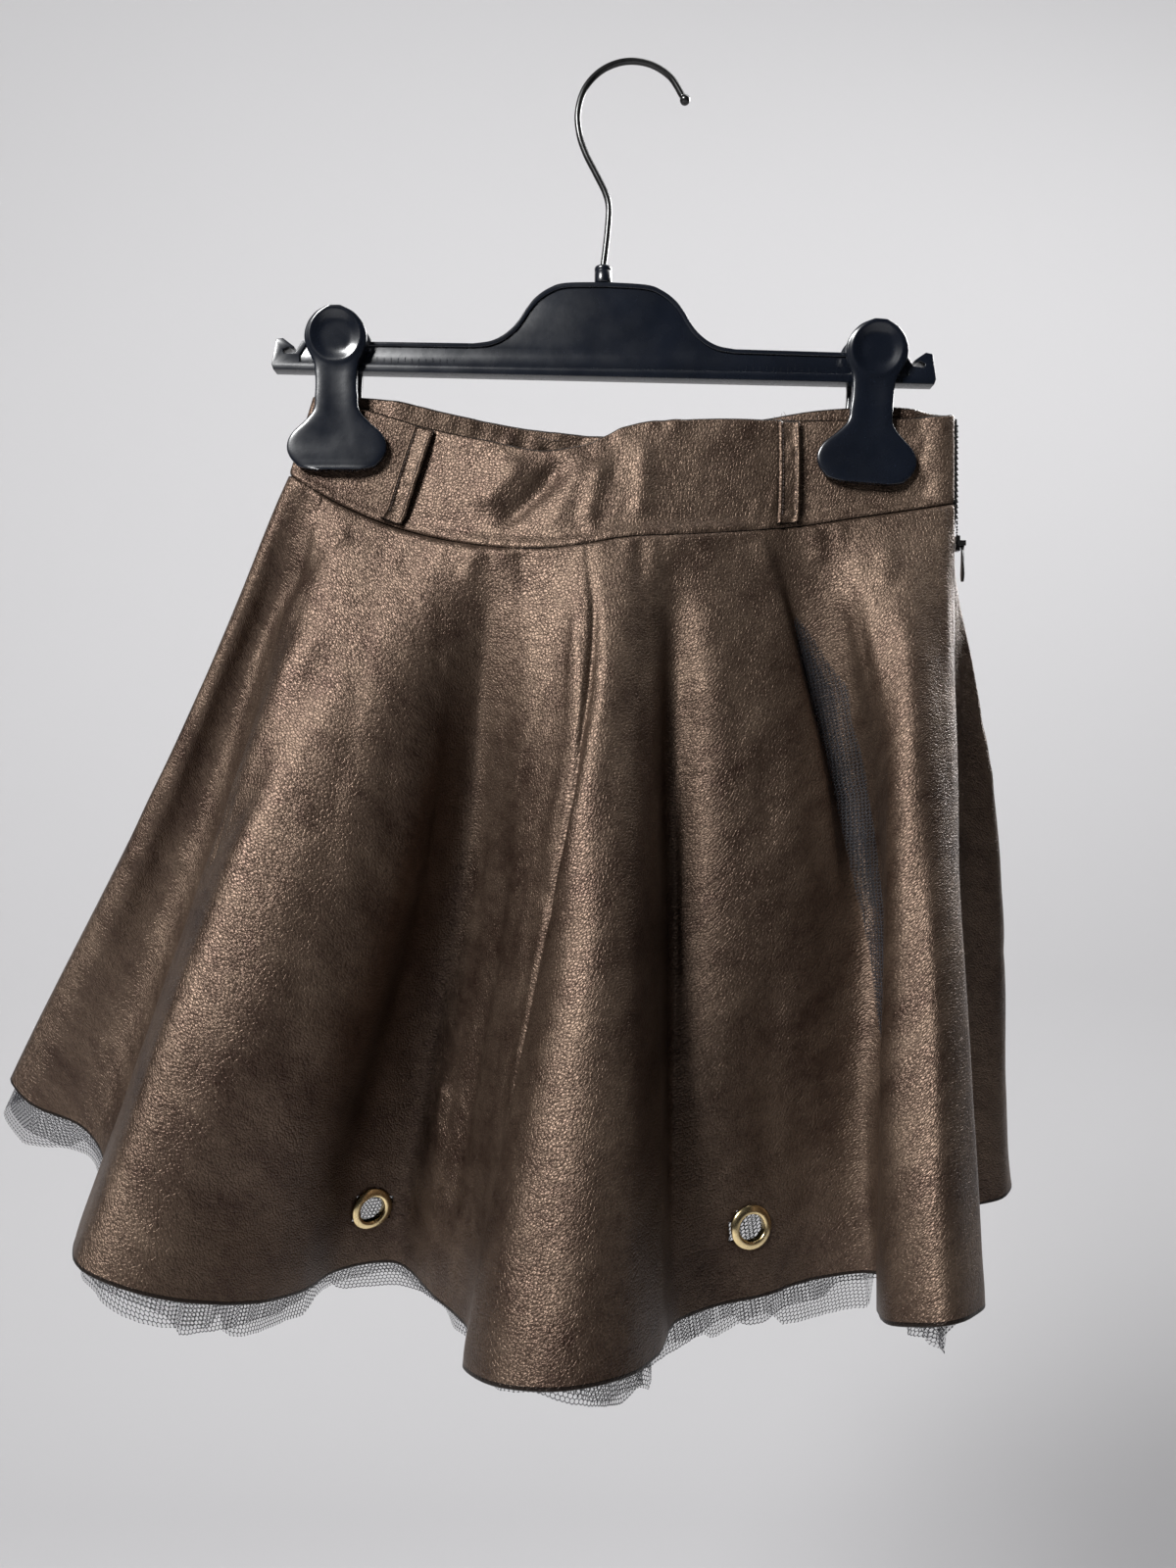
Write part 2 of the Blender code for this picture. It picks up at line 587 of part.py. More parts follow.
def petticoat(where):
    rows = np.array([0.014, 0.09, 0.15, 0.26, 0.46, 0.80, 1.0])
    plain = seam_clearance(rows, False)
    zipped = np.where(rows < 0.35, NET_SLIT, SEAM_GAP / 2)
    right, end = NET_LOFT.right_seam, NET_LOFT.length
    for name, start, stop, gaps in (
        ("petticoat_front", 0, right, (plain, zipped)),
        ("petticoat_back", right, end, (zipped, plain)),
    ):
        columns = int((stop - start) / (end / NET_WAVES / 4)) + 1
        places = np.linspace(start, stop, columns)
        panel_wall(name, places, rows, net_out, NET_WALL, gaps, NET, where, NET_LOFT, net_fall)


# ---------------------------------------------------------------- bands, loops


def band_shares(start, end, count, gaps):
    """Shares from one end of a band to the other, closer near the ends where the band turns."""
    turn = np.linspace(0, np.pi, count)
    first, last = start + gaps[0], end - gaps[1]
    return first + (last - first) * (1 - np.cos(turn)) / 2


def waistbands(where):
    length = WAIST_RIGHT - WAIST_LEFT
    plain, zipped = BAND_END_GAP / length, ZIP_BAND_GAP / length
    levels = np.array([0, 0.35, 0.7, 0.88, 1 - BAND_LIFT / BAND_HEIGHT])
    front = band_shares(0, 1, 44, (plain, zipped))
    back = band_shares(1, 2, 44, (zipped, plain))
    outside = back[(back < GATHER_FROM - GATHER_PITCH / 3) | (back > GATHER_TO + GATHER_PITCH / 3)]
    gathered = np.linspace(GATHER_FROM, GATHER_TO, 4 * GATHERS + 1)
    for name, shares in (("waistband_front", front), ("waistband_back", np.sort([*outside, *gathered]))):
        outer, inner = (band_side(shares, levels, wall) for wall in (0.0, BAND_WALL))
        cloth_wall(name, outer, inner, LEATHER, where)


def band_side(shares, levels, wall):
    return np.stack([band_off(shares, v, gather_depth(shares, v) - wall) for v in levels], axis=1)


def gather_depth(shares, level):
    """The elastic's gathers in the back band, troughs that sink inward and die out at the seam."""
    wave = (1 - np.cos(2 * np.pi * (shares - GATHER_FROM) / GATHER_PITCH)) / 2
    ramp = 2 * GATHER_PITCH
    rise = smooth_step(shares, GATHER_FROM, GATHER_FROM + ramp)
    fall = smooth_step(shares, GATHER_TO - ramp, GATHER_TO)
    return -GATHER_DEPTH * wave * (rise - fall) * (1 - smooth_step(level, 0.7, 1.0))


def belt_loops(where):
    levels = np.linspace(0.02, 0.97, 9)
    half = LOOP_WIDTH / 2 / (WAIST_RIGHT - WAIST_LEFT)
    for loop in BELT_LOOPS:
        skins = []
        for stands in (SEAM_GAP + LOOP_WALL, SEAM_GAP):
            columns = []
            for side in (-half, 0, half):
                points = []
                for level in levels:
                    share = np.array([loop.top + (loop.bottom - loop.top) * level + side])
                    lift = stands + LOOP_ARCH * math.sin(math.pi * level) ** 0.5
                    points.append(band_points(share, level)[0] + band_normals(share, level)[0] * lift)
                columns.append(points)
            skins.append(np.array(columns))
        cloth_wall(loop.name, skins[0], skins[1], LEATHER, where)


# ---------------------------------------------------------------- eyelets


def place_at(x, down):
    """The place round the front whose point at that height has this x, nearest to the middle of the cloth."""
    places = np.linspace(0, LEATHER_LOFT.right_seam, 2001)
    across = panel_points(places, np.full_like(places, down))[:, 0]
    return places[np.argmin(np.abs(across - x))]


def eyelet(spec, panel, where, cutters):
    """A ring through the panel. Its section is turned round the hole and follows the leather's curve."""
    place = place_at(spec.x, spec.down)
    centre = Vector(panel_points(place, spec.down))
    normal = Vector(panel_normals(place, spec.down))
    turned = normal.to_track_quat("Z", "X")
    rounds = []
    for row in EYELET_PROFILE:
        spots = [
            centre + turned @ Vector((row.radius * math.cos(t), row.radius * math.sin(t), 0))
            for t in np.arange(EYELET_SIDES) * 2 * np.pi / EYELET_SIDES
        ]
        rounds.append([on_panel(spot, normal, place, spec.down) + normal * row.lift for spot in spots])
    add_object(spec.name, ring_mesh(spec.name, np.array(rounds)), BRASS, where)
    hole = cylinder(f"{spec.name}_hole", EYELET_CUT, EYELET_CUT * 3, EYELET_SIDES, BRASS, cutters)
    hole.location = centre * METRES
    hole.rotation_mode = "QUATERNION"
    hole.rotation_quaternion = turned
    cut(panel, hole)


def on_panel(spot, normal, place, down):
    """The point of the panel that lies on the line through spot along the normal."""
    for _ in range(8):
        around = Vector(panel_points(place + 0.5, down)) - Vector(panel_points(place - 0.5, down))
        below = Vector(panel_points(place, down + 0.002)) - Vector(panel_points(place, down - 0.002))
        below /= 0.004
        miss = spot - Vector(panel_points(place, down))
        miss -= normal * miss.dot(normal)
        around -= normal * around.dot(normal)
        below -= normal * below.dot(normal)
        a, b, c = around.dot(around), around.dot(below), below.dot(below)
        p, q = miss.dot(around), miss.dot(below)
        det = a * c - b * b
        place += (p * c - q * b) / det
        down += (q * a - p * b) / det
    return Vector(panel_points(place, down))


def ring_mesh(name, points):
    """A closed ring from profile rows, each a round of points in millimetres."""
    rows, sides = points.shape[:2]
    i, j = np.meshgrid(np.arange(rows), np.arange(sides), indexing="ij")
    after, beside = (i + 1) % rows, (j + 1) % sides
    faces = [i * sides + j, i * sides + beside, after * sides + beside, after * sides + j]
    mesh = mesh_of(name, points, np.stack(faces, axis=-1).reshape(-1, 4))
    mesh.set_sharp_from_angle(angle=math.radians(40))
    return mesh


# ---------------------------------------------------------------- zip


def zip_line():
    """The zip's route from the band's top to its lower end: points, outward directions, and how far down the
    leather each lies, negative in the band."""
    points, outs, downs = [], [], []
    for level in np.linspace(0.02, 0.97, 8):
        share = np.array([1.0])
        points.append(band_points(share, level)[0])
        outs.append(band_normals(share, level)[0])
        downs.append(level - 1)
    for down in np.concatenate([[0.006], np.linspace(0.03, 0.09, 5), np.linspace(0.13, ZIP_END, 6)]):
        points.append(panel_points(LEATHER_LOFT.right_seam, down))
        outs.append(panel_normals(np.array(LEATHER_LOFT.right_seam), np.array(down)))
        downs.append(down)
    return np.array(points), np.array(outs), np.array(downs)


def zip_tape(where):
    points, outs, downs = zip_line()
    path = np.gradient(points, axis=0)
    path /= np.linalg.norm(path, axis=1, keepdims=True)
    outs = outs - path * np.sum(outs * path, axis=1, keepdims=True)
    outs /= np.linalg.norm(outs, axis=1, keepdims=True)
    across = np.cross(path, outs)
    hidden = smooth_step(downs, SLIDER_DOWN - 0.026, SLIDER_DOWN - 0.014)
    outer = ZIP_PROUD * (1 - hidden) - (LEATHER_WALL + 0.5) * hidden
    inner = np.full_like(outer, -ZIP_DEEP)
    rings = []
    for p, o, a, high, low in zip(points, outs, across, outer, inner):
        half = ZIP_TAPE / 2
        rings.append([p + o * high + a * half, p + o * high - a * half, p + o * low - a * half,
                      p + o * low + a * half])
    return capped_loft("zip_tape", np.array(rings), TAPE, where)


def slider_frame():
    centre = Vector(panel_points(LEATHER_LOFT.right_seam, SLIDER_DOWN))
    return centre, centre + Vector((PIVOT_OUT, 0, 0))


def zip_slider(where, cutters):
    centre, pivot = slider_frame()
    made = box("zip_slider", SLIDER_SIZE, STEEL, where)
    made.location = (centre + Vector((SLIDER_OFF + SLIDER_SIZE[0] / 2, 0, 0))) * METRES
    for side in (-1, 1):
        ear = box(f"zip_slider_ear_{side}", EAR_SIZE, STEEL, cutters)
        ear.location = (pivot + Vector((-EAR_BACK, side * EAR_SIDE, 0))) * METRES
        join(made, ear)
    pin = cylinder("zip_slider_pin", PIN_RADIUS, PIN_LENGTH, 16, STEEL, cutters)
    pin.rotation_euler = (math.pi / 2, 0, 0)
    pin.location = pivot * METRES
    join(made, pin)


def zip_pull(where, cutters):
    """A flat teardrop that hangs from the slider's pin, its faces turned to the side."""
    _, pivot = slider_frame()
    turns = np.arange(PULL_SIDES) * 2 * np.pi / PULL_SIDES
    rings = [[(r.thick * math.cos(t), r.half * math.sin(t), r.height) for t in turns] for r in PULL_ROWS]
    made = capped_loft("zip_pull", np.array(rings), STEEL, where)
    made.location = pivot * METRES
    hole = cylinder("zip_pull_hole", PIN_RADIUS + PIN_CLEARANCE, 8.0, 14, STEEL, cutters)
    hole.rotation_euler = (math.pi / 2, 0, 0)
    hole.location = pivot * METRES
    cut(made, hole)


# ---------------------------------------------------------------- hanger


def hook_route():
    """The hook's centre line: a round crown over the origin, from the tip to the stem that runs down."""
    turns = np.linspace(HOOK_FROM, HOOK_TO, 7)
    crown = [(HOOK_RADIUS * math.cos(t), WIRE_RADIUS + HOOK_RADIUS * (math.sin(t) - 1)) for t in turns]
    route = np.array(crown + HOOK_STEM)
    knots = np.arange(len(route))
    return through(knots, route, np.linspace(0, knots[-1], HOOK_POINTS))


def hook(where, cutters):
    line = hook_route()
    curve = bpy.data.curves.new("hook_line", "CURVE")
    curve.dimensions = "3D"
    curve.bevel_depth = WIRE_RADIUS * METRES
    curve.bevel_resolution = 2
    curve.use_fill_caps = True
    spline = curve.splines.new("POLY")
    spline.points.add(len(line) - 1)
    for point, (x, z) in zip(spline.points, line):
        point.co = (x * METRES, 0, z * METRES, 1)
    drawn = bpy.data.objects.new("hook_line", curve)
    where.objects.link(drawn)
    view = bpy.context.evaluated_depsgraph_get()
    mesh = bpy.data.meshes.new_from_object(drawn.evaluated_get(view))
    bpy.data.objects.remove(drawn)
    turn_outward(mesh, weld=1e-6)
    made = add_object("hook_wire", mesh, STEEL, where)
    ball = shaped(
        "hook_ball", bmesh.ops.create_uvsphere, STEEL, cutters, u_segments=14, v_segments=9,
        radius=HOOK_BALL * METRES,
    )
    tip = line[0] + (line[0] - line[1]) / np.linalg.norm(line[0] - line[1]) * HOOK_BALL * 0.7
    ball.location = (tip[0] * METRES, 0, tip[1] * METRES)
    ball.rotation_euler = (0, -HOOK_FROM, 0)
    join(made, ball)


def socket(where):
    """A turned socket on the hump, with the bore that the hook's stem stands in."""
    bore = WIRE_RADIUS + 0.3
    top, rim = SOCKET_HEIGHT, SOCKET_RADIUS
    profile = [(bore, top), (rim - SOCKET_ROUND, top), (rim, top - SOCKET_ROUND), (rim, SOCKET_OFF),
               (0.0, SOCKET_OFF), (0.0, SOCKET_FLOOR), (bore, SOCKET_FLOOR)]
    mesh = bpy.data.meshes.new("hook_socket")
    shape = bmesh.new()
    rows = [shape.verts.new((r * METRES, 0, z * METRES)) for r, z in profile]
    for a, b in zip(rows, rows[1:] + rows[:1]):
        if a.co.x > 0 or b.co.x > 0:
            shape.edges.new((a, b))
    bmesh.ops.spin(
        shape, geom=shape.verts[:] + shape.edges[:], cent=(0, 0, 0), axis=(0, 0, 1), angle=2 * math.pi,
        steps=24, use_merge=True,
    )
    bmesh.ops.remove_doubles(shape, verts=shape.verts, dist=1e-6)
    bmesh.ops.recalc_face_normals(shape, faces=shape.faces)
    shape.to_mesh(mesh)
    shape.free()
    made = add_object("hook_socket", mesh, PLASTIC, where)
    made.location = HUMP_TOP * METRES


def bar_outline():
    """The bar seen from the front, round its hump, prongs and straight lower edge."""
    right = HUMP + PRONG
    left = [(-x, z) for x, z in reversed(right[1:])]
    return [(x + BAR_SHIFT, z) for x, z in left + right]


def hanger_bar(where):
    curve = bpy.data.curves.new("hanger_bar", "CURVE")
    curve.dimensions = "2D"
    curve.fill_mode = "BOTH"
    curve.extrude = (BAR_WALL / 2 - BAR_EDGE) * METRES
    curve.bevel_depth = BAR_EDGE * METRES
    curve.bevel_resolution = 1
    curve.offset = -BAR_EDGE * METRES
    outline = bar_outline()
    spline = curve.splines.new("POLY")
    spline.use_cyclic_u = True
    spline.points.add(len(outline) - 1)
    for point, (x, z) in zip(spline.points, outline):
        point.co = (x * METRES, z * METRES, 0, 1)
    drawn = bpy.data.objects.new("bar_line", curve)
    drawn.rotation_euler = (math.pi / 2, 0, 0)
    where.objects.link(drawn)
    view = bpy.context.evaluated_depsgraph_get()
    mesh = bpy.data.meshes.new_from_object(drawn.evaluated_get(view))
    bpy.data.objects.remove(drawn)
    turn_outward(mesh, weld=1e-6)
    made = add_object("hanger_bar", mesh, PLASTIC, where)
    tilted = Matrix.Rotation(BAR_TILT, 4, "Y") @ Matrix.Rotation(math.pi / 2, 4, "X")
    made.matrix_world = Matrix.Translation(HUMP_TOP * METRES) @ tilted


def leaf(clip, side, where, cutters):
    """One leaf of a clip: rings with round corners, stacked up from the jaw."""
    name = f"{clip.name}_{'front' if side < 0 else 'back'}"
    turns = np.arange(LEAF_SIDES) * 2 * np.pi / LEAF_SIDES
    c, s = np.cos(turns), np.sin(turns)
    across = np.sign(c) * np.abs(c) ** LEAF_SQUARE
    deep = np.sign(s) * np.abs(s) ** LEAF_SQUARE
    rings = []
    for row in LEAF_ROWS:
        x = row.half * across
        y = row.inner + LEAF_WALL / 2 * (1 + deep)
        rings.append(np.stack([x, side * y, np.full_like(x, row.height)], axis=-1))
    made = capped_loft(name, np.array(rings), PLASTIC, where)
    made.location = Vector((clip.x, 0, clip.z)) * METRES
    made.rotation_euler = (0, clip.lean, 0)
    thumb = shaped(
        f"{name}_thumb", bmesh.ops.create_uvsphere, PLASTIC, cutters, u_segments=14, v_segments=8,
        radius=METRES,
    )
    face = through([r.height for r in LEAF_ROWS], [r.inner for r in LEAF_ROWS], [THUMB_HEIGHT])[0] + LEAF_WALL
    thumb.parent = made
    thumb.scale = (THUMB_RADIUS, THUMB_DEPTH * 1.6, THUMB_RADIUS)
    thumb.location = Vector((0, side * (face + THUMB_DEPTH * 0.35), THUMB_HEIGHT)) * METRES
    cut(made, thumb)


def clips(where, cutters):
    for clip in CLIPS:
        for side in (-1, 1):
            leaf(clip, side, where, cutters)
        block = box(f"{clip.name}_fulcrum", FULCRUM, PLASTIC, where)
        bar_under = HUMP_TOP.z + BAR_BOTTOM - (clip.x - HUMP_TOP.x) * math.tan(BAR_TILT)
        x = clip.x + (bar_under - clip.z) * math.tan(clip.lean)
        block.location = Vector((x, 0, bar_under - FULCRUM_UNDER - FULCRUM[2] / 2)) * METRES
        block.rotation_euler = (0, BAR_TILT, 0)


def main():
    clear_scene()
    pieces, cutters = collection("leather mini skirt"), collection("cutters")
    front, _ = skirt_panels(pieces)
    petticoat(pieces)
    waistbands(pieces)
    belt_loops(pieces)
    for spec in EYELETS:
        eyelet(spec, front, pieces, cutters)
    zip_tape(pieces)
    zip_slider(pieces, cutters)
    zip_pull(pieces, cutters)
    hook(pieces, cutters)
    socket(pieces)
    hanger_bar(pieces)
    clips(pieces, cutters)


main()
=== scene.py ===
"""A leather mini skirt over a net petticoat, hanging from two clips on a plastic hanger."""
import math
from collections import namedtuple

import bpy
import numpy as np
from bpy.props import FloatProperty, FloatVectorProperty, PointerProperty
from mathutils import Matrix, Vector


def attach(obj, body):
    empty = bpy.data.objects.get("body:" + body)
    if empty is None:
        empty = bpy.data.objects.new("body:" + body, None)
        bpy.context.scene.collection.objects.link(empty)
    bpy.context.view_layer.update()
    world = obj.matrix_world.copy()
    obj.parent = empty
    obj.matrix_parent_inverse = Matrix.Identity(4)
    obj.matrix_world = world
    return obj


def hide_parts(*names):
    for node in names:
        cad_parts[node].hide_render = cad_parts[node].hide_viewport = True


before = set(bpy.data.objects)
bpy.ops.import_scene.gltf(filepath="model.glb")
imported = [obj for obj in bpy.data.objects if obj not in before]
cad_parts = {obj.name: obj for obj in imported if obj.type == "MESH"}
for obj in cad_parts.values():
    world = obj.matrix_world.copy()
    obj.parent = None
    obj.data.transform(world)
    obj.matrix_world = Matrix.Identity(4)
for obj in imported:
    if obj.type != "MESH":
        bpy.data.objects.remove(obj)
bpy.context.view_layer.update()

bl_info = {
    "name": "Leather skirt on a clip hanger",
    "version": (1, 0, 0),
    "blender": (4, 5, 0),
    "location": "3D View > Sidebar > Skirt",
    "description": "Leather panels, bands, net, eyelets, zip and hanger as worked surfaces",
    "category": "Add Mesh",
}

METRES = 0.001

# Cloth, in millimetres
PANEL_LENGTH = 342.0
LEATHER_WALL, BAND_WALL, NET_WALL = 1.2, 2.0, 0.2
HEM_EDGE = 1.3  # the dark rolled edge along the hem
SKIRT_DROP, BAND_LIFT = 0.35, 0.3  # how far panels and bands stop short of the waist seam
SEAM_GAP = 0.3
ZIP_GAP, NET_SLIT = 1.5, 3.0  # half the gaps at the zip, in the leather and in the net
CLEAR_SEARCH = 45.0  # how far round the hem a side seam's clearance is looked for

# Waist, flat between the clips' jaws and open between them
WAIST_LEFT, WAIST_RIGHT = -158.0, 148.5
WAIST_WIDTH = WAIST_RIGHT - WAIST_LEFT
BAND_TOP_LEFT = -147.0
BAND_HEIGHT = 45.0
BAND_END_GAP, ZIP_BAND_GAP = 0.4, 2.4
JAW_FLAT = 2.7
SEAM_OPEN, ZIP_OPEN = 2.0, 2.0
OPEN_FROM, OPEN_TO = -110.0, 81.0
ZIP_OPEN_FROM, ZIP_OPEN_TO = 131.0, 142.0
FRONT_BULGE, BACK_BULGE = (8.0, 17.0), (8.0, 12.0)

# The bands' edges: x, then the seam's and the top's height
FRONT_EDGES = np.array([
    (-158, -189.5, -154.5), (-134, -203.5, -159.5), (-98, -217.5, -169.5), (-67, -224.5, -176.5),
    (-42, -226.5, -181.0), (-22, -224.7, -178.0), (-6, -222.0, -170.5), (24, -219.8, -166.6),
    (64, -215.6, -165.6), (104, -209.5, -165.0), (148.5, -203.0, -163.4),
])
BACK_EDGES = np.array([
    (-158, -189.5, -153.0), (-120, -200.5, -155.0), (-85, -207.0, -161.5), (-45, -212.0, -167.0),
    (0, -213.5, -169.5), (50, -211.5, -164.5), (95, -207.5, -159.0), (125, -205.0, -158.5),
    (148.5, -203.0, -162.4),
])
GATHERS, GATHER_FROM, GATHER_TO = 18, 1.22, 1.84

# The leather's ribs: share of the waist, hem x and y, bow to the right, and sink behind the straight line
RIBS = np.array([
    (0.000, -319, 66, 5, 0),  # left side seam
    (0.016, -304, 54, 5, 0),  # left front
    (0.034, -280, 56, 3, 6),  # left front inner
    (0.058, -250, 22, 0, 8),  # left valley
    (0.080, -241, -35, 4, 0),  # front left fold, side
    (0.108, -221, -70, 8, 0),  # front left fold, crest
    (0.143, -196, -71, 8, 0),  # front left fold, face
    (0.185, -174, -58, 6, 0),  # front left fold, slope
    (0.240, -149, -25, 4, 0),  # hollow, left slope
    (0.285, -135, 10, 6, 5),  # hollow, left wall
    (0.320, -115, 22, 8, 8),  # hollow, bottom
    (0.350, -91, -5, 8, 5),  # hollow, right wall
    (0.380, -75, -29, 6, 0),  # hollow, strip
    (0.408, -68, -55, 9, 0),  # centre fold, tuck
    (0.430, -69, -82, 13, 0),  # centre fold, edge
    (0.450, -53, -107, 10, 0),  # centre fold, crest left
    (0.475, -28, -113, 6, 0),  # centre fold, crest
    (0.508, -8, -103, 3, 0),  # centre fold, crest right
    (0.545, 8, -75, 0, 5),  # centre fold, slope
    (0.585, 18, -39, 0, 11),  # crease
    (0.620, 36, -26, 0, -1),  # right flat, start
    (0.665, 60, -17, 0, -5),  # right flat, middle
    (0.705, 84, -6, 6, -5),  # right flat, end
    (0.750, 110, -7, 10, 5),  # right hollow
    (0.790, 109, -31, 13, 8),  # right fold, tuck
    (0.822, 99, -58, 15, 4),  # right fold, edge
    (0.855, 99, -86, 11, 0),  # right fold, crest left
    (0.905, 115, -98, 4, 0),  # right fold, crest
    (0.958, 135, -80, 0, 0),  # right fold, crest right
    (0.986, 142, -40, 0, 0),  # right fold, side
    (1.000, 150, 10, 0, 0),  # right side seam
    (1.007, 167, 42, 4, 0),  # side valley
    (1.024, 190, 50, 12, 0),  # back right fold, edge
    (1.060, 198, 84, 14, 0),  # back right fold, crest
    (1.105, 180, 106, 10, 0),  # back right fold, face
    (1.165, 150, 106, 3, 0),  # back right slope
    (1.235, 122, 70, 0, 0),  # back right hollow
    (1.305, 92, 78, 0, 0),  # back right rise
    (1.370, 66, 112, 0, 0),  # back centre right crest
    (1.430, 32, 108, 0, 0),  # back centre right fall
    (1.495, 6, 72, 0, 0),  # back centre hollow
    (1.555, -26, 80, 0, 0),  # back centre rise
    (1.615, -54, 116, 0, 0),  # back centre left crest
    (1.670, -88, 110, 0, 0),  # back centre left fall
    (1.730, -116, 76, 0, 0),  # back left hollow
    (1.785, -148, 84, 0, 0),  # back left rise
    (1.840, -180, 116, 0, 0),  # back left crest
    (1.890, -216, 106, 2, 0),  # back left fall
    (1.930, -246, 84, 3, 0),  # left back hollow
    (1.962, -284, 98, 5, 0),  # left back crest
    (1.985, -312, 86, 5, 0),  # left back edge
])
RIGHT_SEAM_RIB = 30
BOW_PEAK = 0.0916  # the largest value of down^1.5 (1 - down)^2

